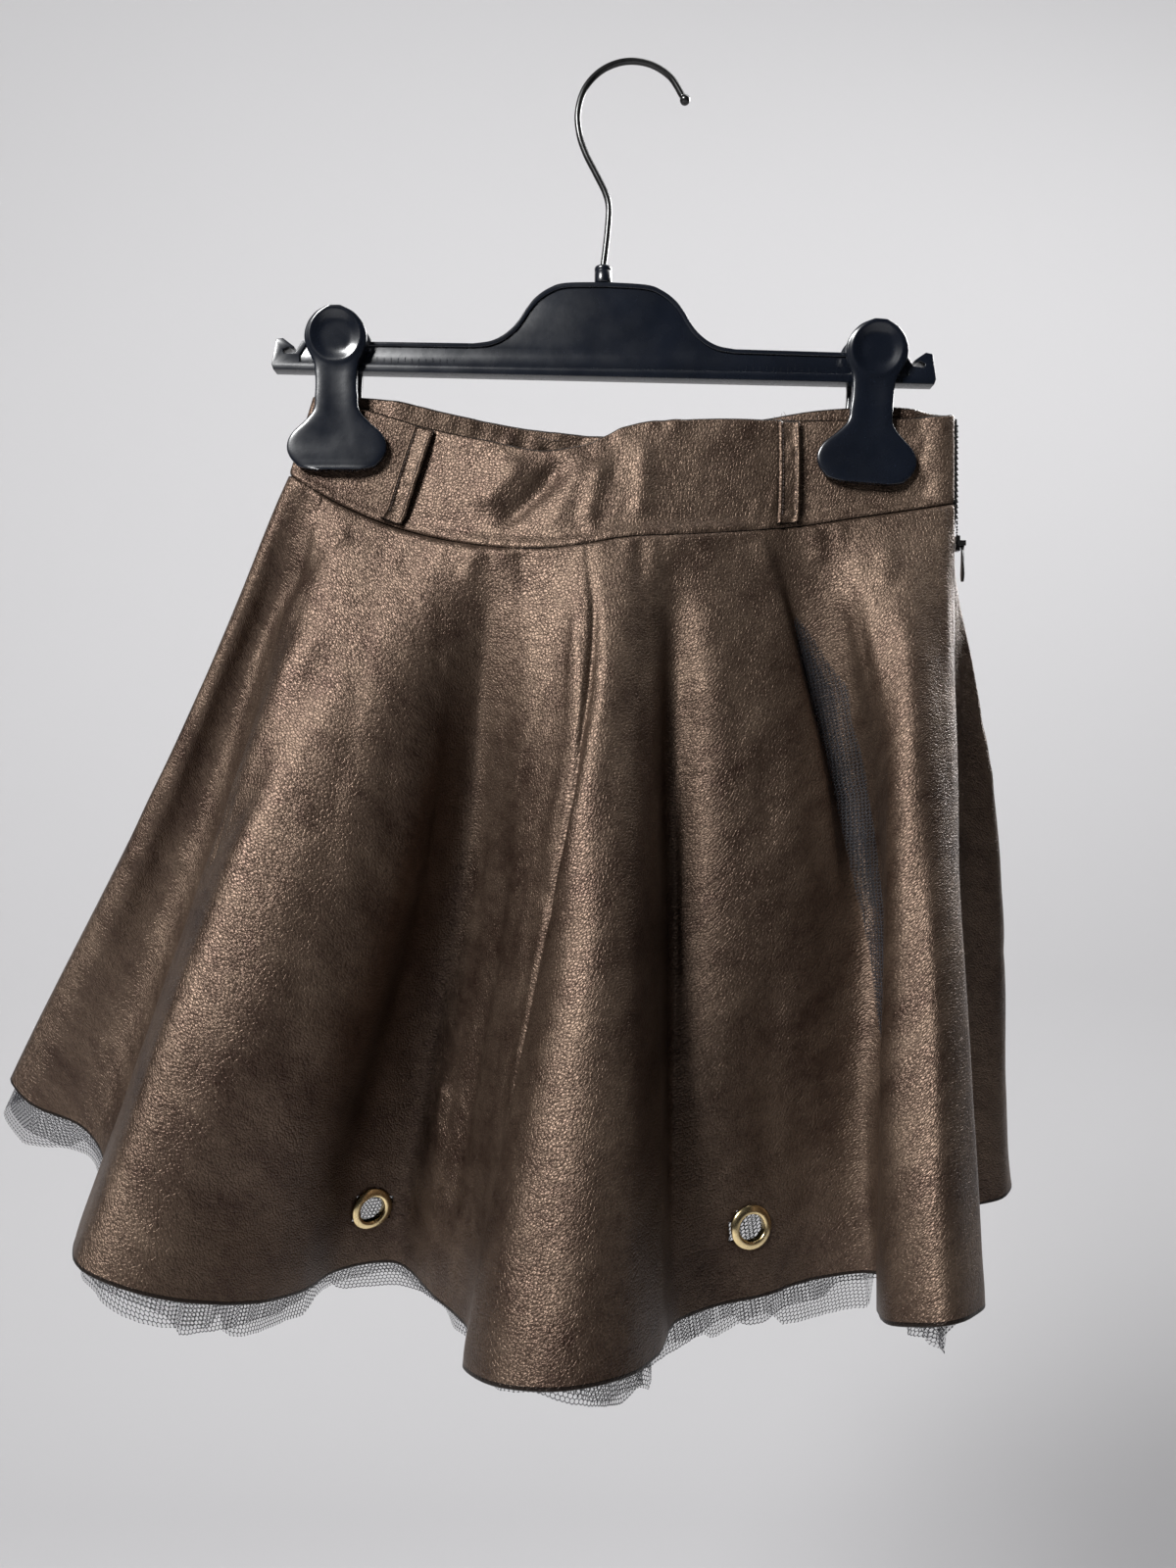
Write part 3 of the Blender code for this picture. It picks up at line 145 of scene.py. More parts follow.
# Soft troughs (negative) and ridges (positive) in the leather: height, reach to each side in millimetres, and
# the line as a place round the hem and how far down it lies, point after point
Crease = namedtuple("Crease", "name height left right line")
CREASES = [Crease(*row) for row in (
    ("left seam ridge", 1.2, 6, 8, (4, 0.12, 3, 0.4, 6, 0.62)),
    ("far fold, ridge", 1.4, 9, 7, (40, 0.62, 43, 0.8, 47, 1.0)),
    ("far fold, ripple", 0.9, 5, 6, (2, 0.602, 29, 0.575, 61, 0.545)),
    ("valley by the left fold", -3.6, 11, 9, (187, 0.03, 137, 0.085, 72, 0.15, 38, 0.24, 32, 0.42, 30, 0.7,
        28, 0.97)),
    ("left fold, upper trough", -1.8, 7, 8, (215, 0.13, 196, 0.25, 186, 0.34, 172, 0.43, 158, 0.50)),
    ("left fold, upper ridge", 1.6, 5, 8, (180, 0.15, 160, 0.27, 150, 0.38, 146, 0.5)),
    ("left fold, nick", -1.3, 2.5, 3.5, (152, 0.39, 148, 0.47, 149, 0.53)),
    ("left fold, crest", 1.5, 6, 9, (203, 0.2, 189, 0.36, 183, 0.5, 180, 0.7, 184, 0.98)),
    ("left fold, faint bend", -0.5, 4, 4, (204, 0.45, 237, 0.401)),
    ("left fold, second bend", -0.5, 4, 5, (257, 0.421, 300, 0.427)),
    ("left fold, waist ridge", 1.0, 4, 3, (176, 0.06, 197, 0.03)),
    ("left fold, face swell", 12.0, 54, 25, (300, -0.1, 302, 0.06, 297, 0.2, 287, 0.36, 277, 0.52,
        266, 0.66, 256, 0.8, 250, 0.92)),
    ("left fold, face bend", -0.7, 5, 7, (222, 0.3, 250, 0.33, 276, 0.31)),
    ("left fold, low bend", 0.7, 7, 6, (214, 0.62, 246, 0.66, 270, 0.65)),
    ("strip, left line", -1.6, 7, 4, (400, 0.24, 396, 0.5, 388, 0.65, 384, 0.8, 380, 0.98)),
    ("strip, face swell", 3.0, 24, 14, (430, 0.08, 428, 0.3, 420, 0.6, 414, 0.9)),
    ("waist seam crease", -1.2, 4, 5, (389, 0.0, 399, 0.03, 404, 0.09)),
    ("centre fold, line", -2.1, 1.7, 2.6, (480, -0.2, 503, 0.04, 507, 0.1, 498, 0.2, 474, 0.345, 456, 0.462,
        446, 0.6, 445, 0.8, 447, 1.0, 448, 1.04, 448, 1.08)),
    ("centre fold, left lip", 0.9, 5, 4, (478, 0.06, 474, 0.2, 455, 0.36, 440, 0.5)),
    ("centre fold, ridge", 2.2, 4.5, 9, (520, 0.05, 522, 0.14, 516, 0.22, 500, 0.3, 484, 0.38, 468, 0.48,
        460, 0.62)),
    ("centre fold, nick", -0.8, 3, 3, (447, 0.44, 461, 0.49)),
    ("centre fold, lower sag", -0.9, 10, 14, (505, 0.6, 500, 0.8, 494, 0.95)),
    ("trough, line", -1.8, 6, 2.0, (604, 0.3, 606, 0.42, 606, 0.6, 604, 0.8, 600, 0.97)),
    ("trough, left roll", 0.8, 10, 8, (574, 0.12, 576, 0.35, 580, 0.6)),
    ("flat, upper swell", 1.6, 12, 14, (633, 0.06, 636, 0.16, 642, 0.27)),
    ("flat, faint trough", -1.1, 7, 8, (672, 0.24, 667, 0.34, 660, 0.45)),
    ("flat, lower trough", -1.2, 8, 8, (664, 0.53, 660, 0.72, 653, 0.98)),
    ("flat, low swell", 0.7, 9, 9, (636, 0.5, 634, 0.75, 634, 0.96)),
    ("flat, right lip", 1.6, 8, 3, (684, 0.03, 690, 0.12, 695, 0.24, 698, 0.38, 700, 0.55)),
    ("flat, edge line", -1.8, 2.6, 6, (690, 0.02, 697, 0.08, 702, 0.17, 706, 0.28, 709, 0.38, 713, 0.5,
        714, 0.62)),
    ("right fold, left valley", -1.5, 6, 5, (742, 0.1, 738, 0.18, 728, 0.27)),
    ("right fold, valley", -1.3, 6, 7, (786, 0.13, 790, 0.2, 777, 0.32, 770, 0.42)),
    ("right fold, tuck", -6.0, 6, 11, (698, 0.05, 706, 0.17, 711, 0.28, 716, 0.4, 721, 0.55, 720, 0.75,
        716, 0.98)),
    ("right fold, crest", 3.4, 13, 9, (813, 0.06, 802, 0.25, 791, 0.4, 777, 0.54, 777, 0.75, 780, 0.97)),
    ("right fold, side flat", -1.6, 12, 14, (822, 0.3, 808, 0.5, 804, 0.7, 806, 0.9)),
    ("right fold, nick", -0.8, 4, 3, (790, 0.405, 786, 0.445)),
    ("right fold, second nick", -0.8, 3, 4, (770, 0.53, 766, 0.57)),
    ("right fold, waist roll", 1.2, 4, 4, (796, 0.03, 799, 0.07, 793, 0.11)),
    ("right fold, side sag", -1.2, 8, 8, (846, 0.1, 842, 0.35, 838, 0.6)),
    ("waist pucker 1", 1.0, 4, 4, (676, 0.01, 688, 0.055)),
    ("waist pucker 2", 1.0, 4, 4, (726, 0.0, 729, 0.06)),
    ("waist pucker 3", -0.9, 4, 4, (560, 0.0, 556, 0.07)),
    ("waist pucker 4", 0.9, 3, 4, (330, 0.0, 322, 0.06)),
    ("waist pucker 5", -0.9, 4, 4, (262, 0.0, 250, 0.07)),
    ("back side bend", -0.5, 5, 6, (966, 0.29, 1004, 0.3)),
    ("back side bend 2", 0.45, 5, 6, (966, 0.37, 1006, 0.37)),
    ("back side bend 3", -0.4, 5, 6, (968, 0.64, 1010, 0.63)),
    ("back, right fall", -1.6, 10, 12, (1094, 0.1, 1100, 0.4, 1106, 0.8)),
    ("back, right crest", 1.5, 9, 8, (1190, 0.08, 1194, 0.4, 1200, 0.9)),
    ("back, right bend", 0.7, 6, 6, (1130, 0.42, 1170, 0.46)),
    ("back, centre fall", -1.4, 8, 10, (1262, 0.06, 1268, 0.35, 1272, 0.8)),
    ("back, centre bend", -0.6, 5, 5, (1290, 0.5, 1335, 0.47)),
    ("back, centre crest", 1.6, 8, 9, (1350, 0.05, 1354, 0.4, 1358, 0.85)),
    ("back, left fall", -1.5, 9, 9, (1420, 0.1, 1426, 0.45, 1432, 0.95)),
    ("back, left crest", 1.4, 9, 7, (1508, 0.07, 1512, 0.45, 1514, 0.92)),
    ("back, left bend", 0.6, 5, 6, (1470, 0.36, 1506, 0.33)),
    ("back, far left fall", -1.3, 8, 8, (1575, 0.1, 1582, 0.5, 1586, 0.9)),
)]
TAPER = 0.28  # the share of a crease's line over which its height grows from nothing, at each end

# Lines that a column of the front's mesh follows, so that a sharp fold stays smooth: the column's place, how
# far to each side its neighbours are drawn along, then the line as downs and places
Guide = namedtuple("Guide", "anchor reach downs places")
GUIDES = [
    Guide(476, 62, (-0.2, 0.04, 0.1, 0.2, 0.345, 0.462, 0.6, 0.8, 1.1),
          (480, 503, 507, 498, 474, 456, 446, 445, 446)),
    Guide(704, 34, (0.02, 0.08, 0.17, 0.28, 0.38, 0.5, 0.62, 1.0), (690, 697, 702, 706, 709, 713, 714, 708)),
    Guide(604, 20, (0.0, 0.3, 0.6, 1.0), (600, 604, 606, 600)),
    Guide(165, 40, (0.0, 0.13, 0.27, 0.38, 0.5, 1.0), (196, 184, 162, 152, 148, 150)),
]
CLOSER, CLOSER_REACH = 2.4, 11.0  # how much denser the columns are at a guide, and over how many millimetres

# Wrinkles in the bands, in shares of the waist and levels from their top to their seam
BAND_CREASES = [Crease(*row) for row in (
    ("left dip, fold", -3.4, 5, 5, (0.40, 0.02, 0.365, 0.45, 0.318, 0.85)),
    ("left dip, ridge", 2.2, 8, 5, (0.345, 0.05, 0.315, 0.4, 0.290, 0.7)),
    ("left dip, far ridge", 1.7, 5, 7, (0.440, 0.12, 0.415, 0.5, 0.405, 0.9)),
    ("middle ridge", 1.6, 4, 4, (0.462, 0.15, 0.455, 0.5, 0.452, 0.9)),
    ("middle lower ridge", 0.8, 4, 3, (0.465, 0.95, 0.445, 0.6)),
    ("middle trough", -0.9, 5, 5, (0.482, 0.05, 0.486, 0.6)),
    ("second ridge", 1.4, 4, 5, (0.520, 0.05, 0.528, 0.55, 0.524, 0.95)),
    ("seam fold 1", 0.9, 3, 4, (0.735, 0.55, 0.712, 0.95)),
    ("seam fold 2", 0.7, 3, 3, (0.708, 0.7, 0.690, 0.97)),
    ("right of centre sag", -0.7, 10, 12, (0.60, 0.1, 0.61, 0.5, 0.60, 0.9)),
    ("clip wrinkle 1", 0.9, 3, 3, (0.905, 0.2, 0.945, 0.3)),
    ("clip wrinkle 2", -0.8, 3, 3, (0.900, 0.38, 0.950, 0.46)),
    ("clip wrinkle 3", 0.7, 3, 3, (0.895, 0.62, 0.950, 0.70)),
    ("left end wrinkle", -0.7, 4, 4, (0.035, 0.2, 0.05, 0.7)),
    ("inner roll", -2.2, 3.5, 3.5, (1.520, 0.09, 1.582, 0.12)),
    ("inner dent", 1.2, 3, 3, (1.630, 0.1, 1.628, 0.5)),
    ("inner fold", -1.2, 3, 5, (1.690, 0.05, 1.700, 0.5)),
    ("left clip wrinkle", 0.8, 4, 4, (0.150, 0.5, 0.185, 0.9)),
)]

# The net below the leather's hem: place round the hem and how far each layer reaches past the hem there
OUTER_NET_HEM = np.array([
    (0, 20), (24, 24), (50, 17), (70, 14), (120, 8), (186, 9), (200, 12), (243, 13), (246, 3), (249, 15),
    (300, 18), (306, 11), (330, 13), (342, 9), (404, 10), (414, 3), (515, 2), (530, 8), (566, 12),
    (574, 15), (576, 13), (626, 13), (630, 17), (660, 12), (664, 19), (700, 21), (703, 3), (792, 1),
    (797, 8), (808, 9), (812, 0), (925, -2), (960, -6), (1040, 4), (1090, 10), (1096, 4), (1180, 8),
    (1240, 12), (1246, 5), (1330, 7), (1400, 12), (1406, 4), (1500, 9), (1560, 12), (1564, 18), (1620, 16),
    (1680, 20),
])
INNER_NET_HEM = np.array([
    (0, 14), (40, 21), (44, 12), (90, 17), (180, 4), (224, 9), (228, 15), (282, 12), (286, 9), (318, 12),
    (322, 17), (360, 14), (366, 6), (420, 4), (500, 2), (540, 12), (556, 15), (566, 12), (600, 18),
    (642, 11), (646, 16), (684, 14), (690, 6), (760, 3), (800, 5), (804, 12), (830, 3), (925, 2),
    (1010, -2), (1070, 8), (1130, 5), (1210, 11), (1290, 6), (1370, 10), (1450, 6), (1540, 11), (1600, 14),
    (1680, 14),
])
NET_WAVES = 36
NET_SKIPPED_RIBS = (31, 32, 33)
# The layers of each petticoat: kind, hem and inset from the leather
NET_LAYERS = (("outer", OUTER_NET_HEM, 0.95), ("inner", INNER_NET_HEM, 2.6))

# Uneven fields: height, pitch round and down the cloth in millimetres, and the seed of its random heights
Ripple = namedtuple("Ripple", "height pitch seed")
WAIST_PUCKER, HEM_WAVER = Ripple(0.42, (6.0, 22.0), 11), Ripple(0.35, (7.0, 40.0), 12)
PANEL_SWELL, PANEL_RIPPLE = Ripple(0.55, (24.0, 60.0), 13), Ripple(0.16, (9.0, 14.0), 14)
GATHER_CHANGE, BAND_RIPPLE = Ripple(0.9, (12.0, 16.0), 21), Ripple(1.0, (13.0, 15.0), 22)
BAND_SEAM_PUCKER, BAND_TOP_PUCKER = Ripple(0.55, (4.2, 12.0), 23), Ripple(0.4, (5.0, 12.0), 24)
LOOP_WRINKLE = Ripple(0.55, (3.0, 2.6), 31)
NET_TEAR, NET_WOBBLE = Ripple(0.25, (2.2, 1.0), 40), Ripple(1.4, (26.0, 90.0), 50)
NET_SWAY = Ripple(0.9, (17.0, 50.0), 60)
WAIST_RUN = 300.0  # about a share of the waist, in millimetres
WAIST_TO_HEM = 0.45  # about the waist's length beside the hem's

# Belt loops, from a share of the waist at the top to one at the bottom
BELT_LOOPS = {
    "belt_loop_front_left": (0.182, 0.172),
    "belt_loop_front_right": (0.739, 0.747),
    "belt_loop_back_right": (1.300, 1.296),
    "belt_loop_back_left": (1.702, 1.706),
}
LOOP_HALF = 5.0 / WAIST_WIDTH  # half a loop's width, as a share of the waist
LOOP_FROM, LOOP_TO = 0.02, 0.97  # levels of its ends
LOOP_ARCH = 1.6

# A sewn rectangle inside the back band: the shares of its sides, then its levels
INNER_TACK = (1.598, 1.648, 0.07, 0.24)
STITCH_PITCH = 2.7
# Frayed thread ends over the front band's top edge: share of the waist, height and lean in millimetres
LOOSE_THREADS = [
    (0.722, 3.0, -1.2), (0.728, 4.4, 0.8), (0.7335, 2.6, 1.6), (0.739, 5.0, -1.8), (0.744, 3.4, 1.1),
    (0.771, 4.2, 2.4), (0.778, 2.8, -0.8), (0.783, 4.8, 1.4), (0.430, 2.0, 1.0), (0.300, 1.8, -0.9),
]

# Eyelets, by x and how far down the front panel
EYELETS = {"eyelet_left": (-123.0, 0.918), "eyelet_right": (52.0, 0.908)}
# Their section, turned clockwise: radius, and lift off the leather's outer side
EYELET_PROFILE = np.array([
    (6.0, 0.7), (6.05, 1.2), (6.3, 1.7), (6.75, 2.0), (7.3, 2.1), (8.0, 2.0), (8.8, 1.65), (9.5, 1.2),
    (9.9, 0.85), (10.0, 0.62), (9.9, 0.47), (9.4, 0.45), (7.4, 0.45), (7.0, 0.3), (7.0, -1.5), (7.2, -1.7),
    (8.6, -1.7), (8.95, -1.85), (9.0, -2.0), (8.9, -2.2), (8.6, -2.3), (6.6, -2.3), (6.2, -2.2), (6.0, -1.9),
])
EYELET_HOLE, EYELET_CALM = 7.7, 13.0  # radii of the hole in the leather and of the smooth leather round it

# Zip in the right side seam: how far down it ends and its slider stands, and its teeth's run and pitch
ZIP_END, SLIDER_DOWN = 0.30, 0.052
TEETH_END, TEETH_START, TEETH_PITCH = 60.0, 3.0, 1.25

# Hanger: x and height in the plane of the bar
HOOK_RADIUS = 25.0
HOOK_WIRE, HOOK_BALL = 1.48, 2.38  # radii
HOOK_FROM, HOOK_TO = math.radians(20), math.radians(176)
HOOK_STEM = [(-24.3, -32.0), (-21.4, -41.0), (-16.6, -50.5), (-12.4, -59.0), (-10.7, -66.0), (-11.2, -76.0),
             (-12.3, -86.0), (-13.1, -92.5), (-13.3, -98.6)]
# The socket's section: radius and height
SOCKET = [(1.8, 2.7), (1.8, 7.9), (2.0, 8.15), (3.2, 8.2), (3.75, 8.0), (4.0, 7.55), (4.0, 6.2), (3.86, 6.0),
          (3.86, 5.7), (4.0, 5.5), (4.0, 0.9), (3.9, 0.5), (3.6, 0.32), (0.3, 0.32)]
HUMP_TOP = np.array((-13.3, 0.0, -101.7))
BAR_TILT, BAR_SHIFT = math.radians(1.3), 1.2
HUMP = [(0, 0), (18.6, -0.8), (26.0, -3.3), (32.0, -7.6), (36.0, -12.6), (39.0, -17.4), (42.2, -21.6),
        (47.0, -25.6), (52.6, -28.2), (60, -29.4)]
PRONG = [(138.4, -30.0), (141.6, -35.4), (146.6, -36.0), (147.2, -34.2), (144.6, -33.0), (142.4, -34.0),
         (142.2, -32.6), (147.2, -29.0), (150.4, -29.6), (152.2, -41.2), (151.4, -43.4)]
# The recess in the bar's faces: its right half, inside the rim
RECESS = [(0, -2.2), (17.8, -2.9), (24.9, -5.2), (30.3, -9.0), (34.2, -13.8), (37.2, -18.5), (40.6, -23.0),
          (46.0, -27.4), (52.2, -30.2), (60, -31.3), (136.6, -31.9), (139.4, -36.6), (139.4, -39.6)]
RIM_HALF, WEB_HALF = 3.8, 2.9  # half the bar's thickness at its rim and inside the recess
TICKS = np.concatenate([np.arange(-104, -66, 3.2), np.arange(62, 100, 3.2)])  # marks along its foot, by x
TICK_HEIGHT = -37.9
CLIPS = {"clip_left": (-134.9, -188.5, 0.0), "clip_right": (106.0, -194.5, math.radians(4.8))}
# A clip leaf: height above the jaw, half width, and the leaf's distance from the middle
LEAF = np.array([
    (0.0, 10.5, 3.6), (0.8, 15.0, 3.2), (3.4, 19.2, 3.0), (6.8, 21.8, 3.0), (12.0, 22.7, 3.0),
    (17.2, 20.2, 3.2), (22.0, 14.9, 3.5), (26.5, 10.9, 3.8), (34.0, 9.7, 4.1), (42.0, 9.5, 4.2),
    (49.0, 10.4, 4.3), (54.3, 12.9, 4.8), (59.4, 14.2, 5.5), (64.3, 13.3, 6.2), (68.3, 10.9, 6.8),
    (71.2, 7.6, 7.3), (73.0, 3.4, 7.8),
])
LEAF_WALL = 4.0
LEAF_SQUARE = 0.42  # a leaf's corners: 1 is an ellipse and 0 a rectangle
THUMB_HEIGHT, THUMB_RADIUS, THUMB_DEPTH = 60.5, 11.5, 1.25


# ---- curves through tables


def through(knots, values, at):
    """A cubic in each span between knots, whose slopes come from the knots on both sides."""
    knots, values, at = (np.asarray(v, float) for v in (knots, values, at))
    slopes = np.gradient(values, knots, axis=0)
    span = np.clip(np.searchsorted(knots, at, side="right") - 1, 0, len(knots) - 2)
    width = knots[span + 1] - knots[span]
    s = (at - knots[span]) / width
    if values.ndim > 1:
        width, s = width[..., None], s[..., None]
    start = (2 * s**3 - 3 * s**2 + 1) * values[span] + (s**3 - 2 * s**2 + s) * width * slopes[span]
    end = (3 * s**2 - 2 * s**3) * values[span + 1] + (s**3 - s**2) * width * slopes[span + 1]
    return start + end


def straight(at, knots, rows):
    """Straight-line interpolation of each column of rows."""
    return np.stack([np.interp(at, knots, column) for column in rows.T], axis=-1)


def smooth_step(x, start, end):
    """0 before start, 1 after end, and 3s^2 - 2s^3 between."""
    s = np.clip((x - start) / (end - start), 0.0, 1.0)
    return s * s * (3 - 2 * s)


def within(x, start, full, fading, end):
    """Smooth steps up from start to full, and down from fading to end."""
    return smooth_step(x, start, full) * (1 - smooth_step(x, fading, end))


def bell(x, reach):
    """exp(-(x / reach)^2)."""
    return np.exp(-((x / reach) ** 2))


def unit(vectors):
    return vectors / np.maximum(np.linalg.norm(vectors, axis=-1, keepdims=True), 1e-12)


def lengths_along(points):
    """The length of the line through the points, up to each of them."""
    return np.concatenate([[0], np.cumsum(np.linalg.norm(np.diff(points, axis=0), axis=1))])


def tilted(points, angle):
    """The points turned about the y axis: x gains z times the sine, and z loses x times the sine."""
    x, y, z = np.moveaxis(points, -1, 0)
    c, s = math.cos(angle), math.sin(angle)
    return np.stack([c * x + s * z, y, c * z - s * x], axis=-1)


def catmull(t):
    """The four Catmull-Rom weights at t between the second and third value."""
    return (
        (-t**3 + 2 * t**2 - t) / 2, (3 * t**3 - 5 * t**2 + 2) / 2,
        (-3 * t**3 + 4 * t**2 + t) / 2, (t**3 - t**2) / 2,
    )


def uneven(a, b, ripple, copy=0):
    """A smooth uneven field: random heights on a lattice, joined by Catmull-Rom weights. Each copy of a
    ripple has heights of its own."""
    u, v = a / ripple.pitch[0], b / ripple.pitch[1]
    u, v = u - u.min() + 1, v - v.min() + 1
    size = int(u.max()) + 4, int(v.max()) + 4
    lattice = np.random.default_rng(ripple.seed + copy).uniform(-1, 1, size)
    i, j = np.floor(u).astype(int), np.floor(v).astype(int)
    total = np.zeros_like(u)
    for m, weight_u in enumerate(catmull(u - i)):
        for n, weight_v in enumerate(catmull(v - j)):
            row = np.clip(i + m - 1, 0, lattice.shape[0] - 1)
            column = np.clip(j + n - 1, 0, lattice.shape[1] - 1)
            total += weight_u * weight_v * lattice[row, column]
    return ripple.height * total


# ---- waist and bands


def half_depth(x, along, bulge, level):
    """The band's distance from the middle plane: the jaw's half thickness, plus a sine bulge between the
    clips, times a rounding that closes it at both ends."""
    opening = np.sin(np.pi * np.clip((x - OPEN_FROM) / (OPEN_TO - OPEN_FROM), 0, 1)) ** 1.2
    seam = SEAM_OPEN * smooth_step(level, 0.85, 1.0)
    depth = JAW_FLAT + np.maximum(seam, ZIP_OPEN * smooth_step(x, ZIP_OPEN_FROM, ZIP_OPEN_TO))
    round_end = WAIST_WIDTH / depth
    depth = depth + (bulge[0] + (bulge[1] - bulge[0]) * level) * opening
    return depth * np.sqrt(np.clip(1 - np.abs(along) ** round_end, 0, 1))


def waist_ring(level):
    """The bands' outer line at one level: x runs as minus the cosine of the turn, depth from half_depth, and
    height from the edge tables. Returns each point's share of the waist with the points."""
    turn = np.linspace(0, 2 * np.pi, 1441)
    along = -np.cos(turn)
    seam_x = (WAIST_LEFT + WAIST_RIGHT) / 2 + along * WAIST_WIDTH / 2
    left = BAND_TOP_LEFT + (WAIST_LEFT - BAND_TOP_LEFT) * level
    x = seam_x + (left - WAIST_LEFT) * ((1 - along) / 2) ** 3
    front = turn <= np.pi
    depths, heights = [], []
    for edges, bulge in ((FRONT_EDGES, FRONT_BULGE), (BACK_EDGES, BACK_BULGE)):
        seam, top = through(edges[:, 0], edges[:, 1:], seam_x).T
        heights.append(top + (seam - top) * level)
        depths.append(half_depth(seam_x, along, bulge, level))
    depth = np.where(front, -depths[0], depths[1])
    end = smooth_step(np.abs(along), 0.97, 1.0)
    z = np.where(front, heights[0], heights[1]) * (1 - end) + (heights[0] + heights[1]) / 2 * end
    points = np.stack([x, depth, z], axis=-1)
    length = lengths_along(points)
    half = length[len(turn) // 2]
    share = np.where(front, length / half, 1 + (length - half) / (length[-1] - half))
    return share, points


RINGS = [waist_ring(level) for level in np.linspace(0, 1, 41)]
SEAM_SHARE, SEAM_RING = RINGS[-1]
RING_TABLE = np.array([straight(np.linspace(0, 2, 2881), share, points) for share, points in RINGS])


def band_points(share, level):
    """Points on the bands' outer side for arrays of shares and levels, straight between the table's rows."""
    share, level = np.broadcast_arrays(np.asarray(share, float) % 2.0, np.clip(level, 0, 1))
    levels, shares = RING_TABLE.shape[:2]
    u, v = share / 2.0 * (shares - 1), level * (levels - 1)
    i, j = np.minimum(u.astype(int), shares - 2), np.minimum(v.astype(int), levels - 2)
    a, b = (u - i)[..., None], (v - j)[..., None]
    low = RING_TABLE[j, i] * (1 - a) + RING_TABLE[j, i + 1] * a
    high = RING_TABLE[j + 1, i] * (1 - a) + RING_TABLE[j + 1, i + 1] * a
    return low * (1 - b) + high * b


def with_normals(surface, around, down, steps):
    """A surface's points and normals. A normal stands across the slopes down and round the surface, each
    taken over two steps."""
    around, down = np.broadcast_arrays(np.asarray(around, float), np.asarray(down, float))
    slope_around = surface(around + steps[0], down) - surface(around - steps[0], down)
    slope_down = surface(around, down + steps[1]) - surface(around, down - steps[1])
    return surface(around, down), unit(np.cross(slope_down, slope_around))


def on_band(share, level):
    """Points on the bands' outer side, with their normals."""
    return with_normals(band_points, share, level, (0.004, 0.03))


# ---- panels


Loft = namedtuple("Loft", "knots values length right_seam")


def loft_through(skipped=()):
    """The ribs closed into a loop, each knot being the place along the hem's chords."""
    kept = [i for i in range(len(RIBS)) if i not in skipped]
    count, wrap = len(kept), 3
    order = np.arange(-wrap, count + wrap + 1)
    rows = RIBS[kept][order % count]
    rows[:, 0] += 2.0 * (order // count)
    knots = lengths_along(rows[:, 1:3])
    knots -= knots[wrap]
    return Loft(knots, rows, knots[wrap + count], knots[wrap + kept.index(RIGHT_SEAM_RIB)])


LEATHER_LOFT = loft_through()
NET_LOFT = loft_through(NET_SKIPPED_RIBS)


def panel_points(place, down, loft=LEATHER_LOFT):
    """Points on a panel's outer side: a straight line from the waist seam to the hem, as long as the panel,
    bent by down^1.5 (1 - down)^2 times the ribs' bow and sink."""
    place, down = np.broadcast_arrays(np.asarray(place, float), np.asarray(down, float))
    values = through(loft.knots, loft.values, place)
    share, hem_xy, bent = values[..., 0] % 2.0, values[..., 1:3], values[..., 3:5]
    waist = straight(share, SEAM_SHARE, SEAM_RING)
    drop = np.sqrt(PANEL_LENGTH**2 - np.sum((hem_xy - waist[..., :2]) ** 2, axis=-1))
    hem = np.concatenate([hem_xy, (waist[..., 2] - drop)[..., None]], axis=-1)
    points = waist + (hem - waist) * down[..., None]
    middle = np.clip(down, 0, 1) ** 1.5 * np.clip(1 - down, 0, 1) ** 2 / BOW_PEAK
    points[..., :2] += bent * middle[..., None]
    return points


def on_panel(place, down, loft=LEATHER_LOFT):
    """Points on a panel's outer side, with their normals."""
    return with_normals(lambda a, b: panel_points(a, b, loft), place, down, (0.5, 0.003))


def creased(points, normals, creases, surface):
    """How far each point stands out for the creases: height times a bell of its distance from the line, whose
    reach is the left or right one by the point's side of the line, and which fades at the line's ends."""
    out = np.zeros(points.shape[:-1])
    flat_points, flat_normals, flat_out = points.reshape(-1, 3), normals.reshape(-1, 3), out.reshape(-1)
    at = np.linspace(0, 1, 48)
    for crease in creases:
        line = np.reshape(crease.line, (-1, 2))
        line = surface(*through(np.linspace(0, 1, len(line)), line, at).T)
        reach = 2.6 * max(crease.left, crease.right)
        near = np.all((flat_points > line.min(0) - reach) & (flat_points < line.max(0) + reach), axis=1)
        if not near.any():
            continue
        spots, turned_up = flat_points[near], flat_normals[near]
        nearest = np.linalg.norm(spots[:, None] - line[None], axis=-1).argmin(axis=1)
        tangent = np.gradient(line, axis=0)[nearest]
        step = np.linalg.norm(tangent, axis=1)
        heading, off = unit(tangent), spots - line[nearest]
        on = np.clip(np.sum(off * heading, axis=1) / step, -0.5, 0.5)
        off = off - (on * step)[:, None] * heading
        side = np.sum(np.cross(turned_up, heading) * off, axis=1)
        width = np.where(side > 0, crease.right, crease.left)
        ends = within(at[nearest] + on * at[1], 0, TAPER, 1 - TAPER, 1)
        flat_out[near] += crease.height * ends * bell(np.linalg.norm(off, axis=1), width)
    return out


def leather_relief(place, down, points, normals):
    """The named creases, puckers that fade within 25 mm of the waist seam, a low uneven ripple, a wavering
    hem, and the roll of the leather into its waist seam."""
    fall = down * PANEL_LENGTH
    relief = creased(points, normals, CREASES, panel_points)
    relief += uneven(place * WAIST_TO_HEM, fall, WAIST_PUCKER) * bell(fall, 11.0)
    ripple = uneven(place, fall, PANEL_SWELL) + uneven(place, fall, PANEL_RIPPLE)
    relief += ripple * smooth_step(fall, 5, 60)
    edge = uneven(place, fall, HEM_WAVER) * bell(PANEL_LENGTH - fall, 5.0)
    return relief * smooth_step(fall, 0.0, 2.5) + edge - 0.75 * bell(fall, 1.1)


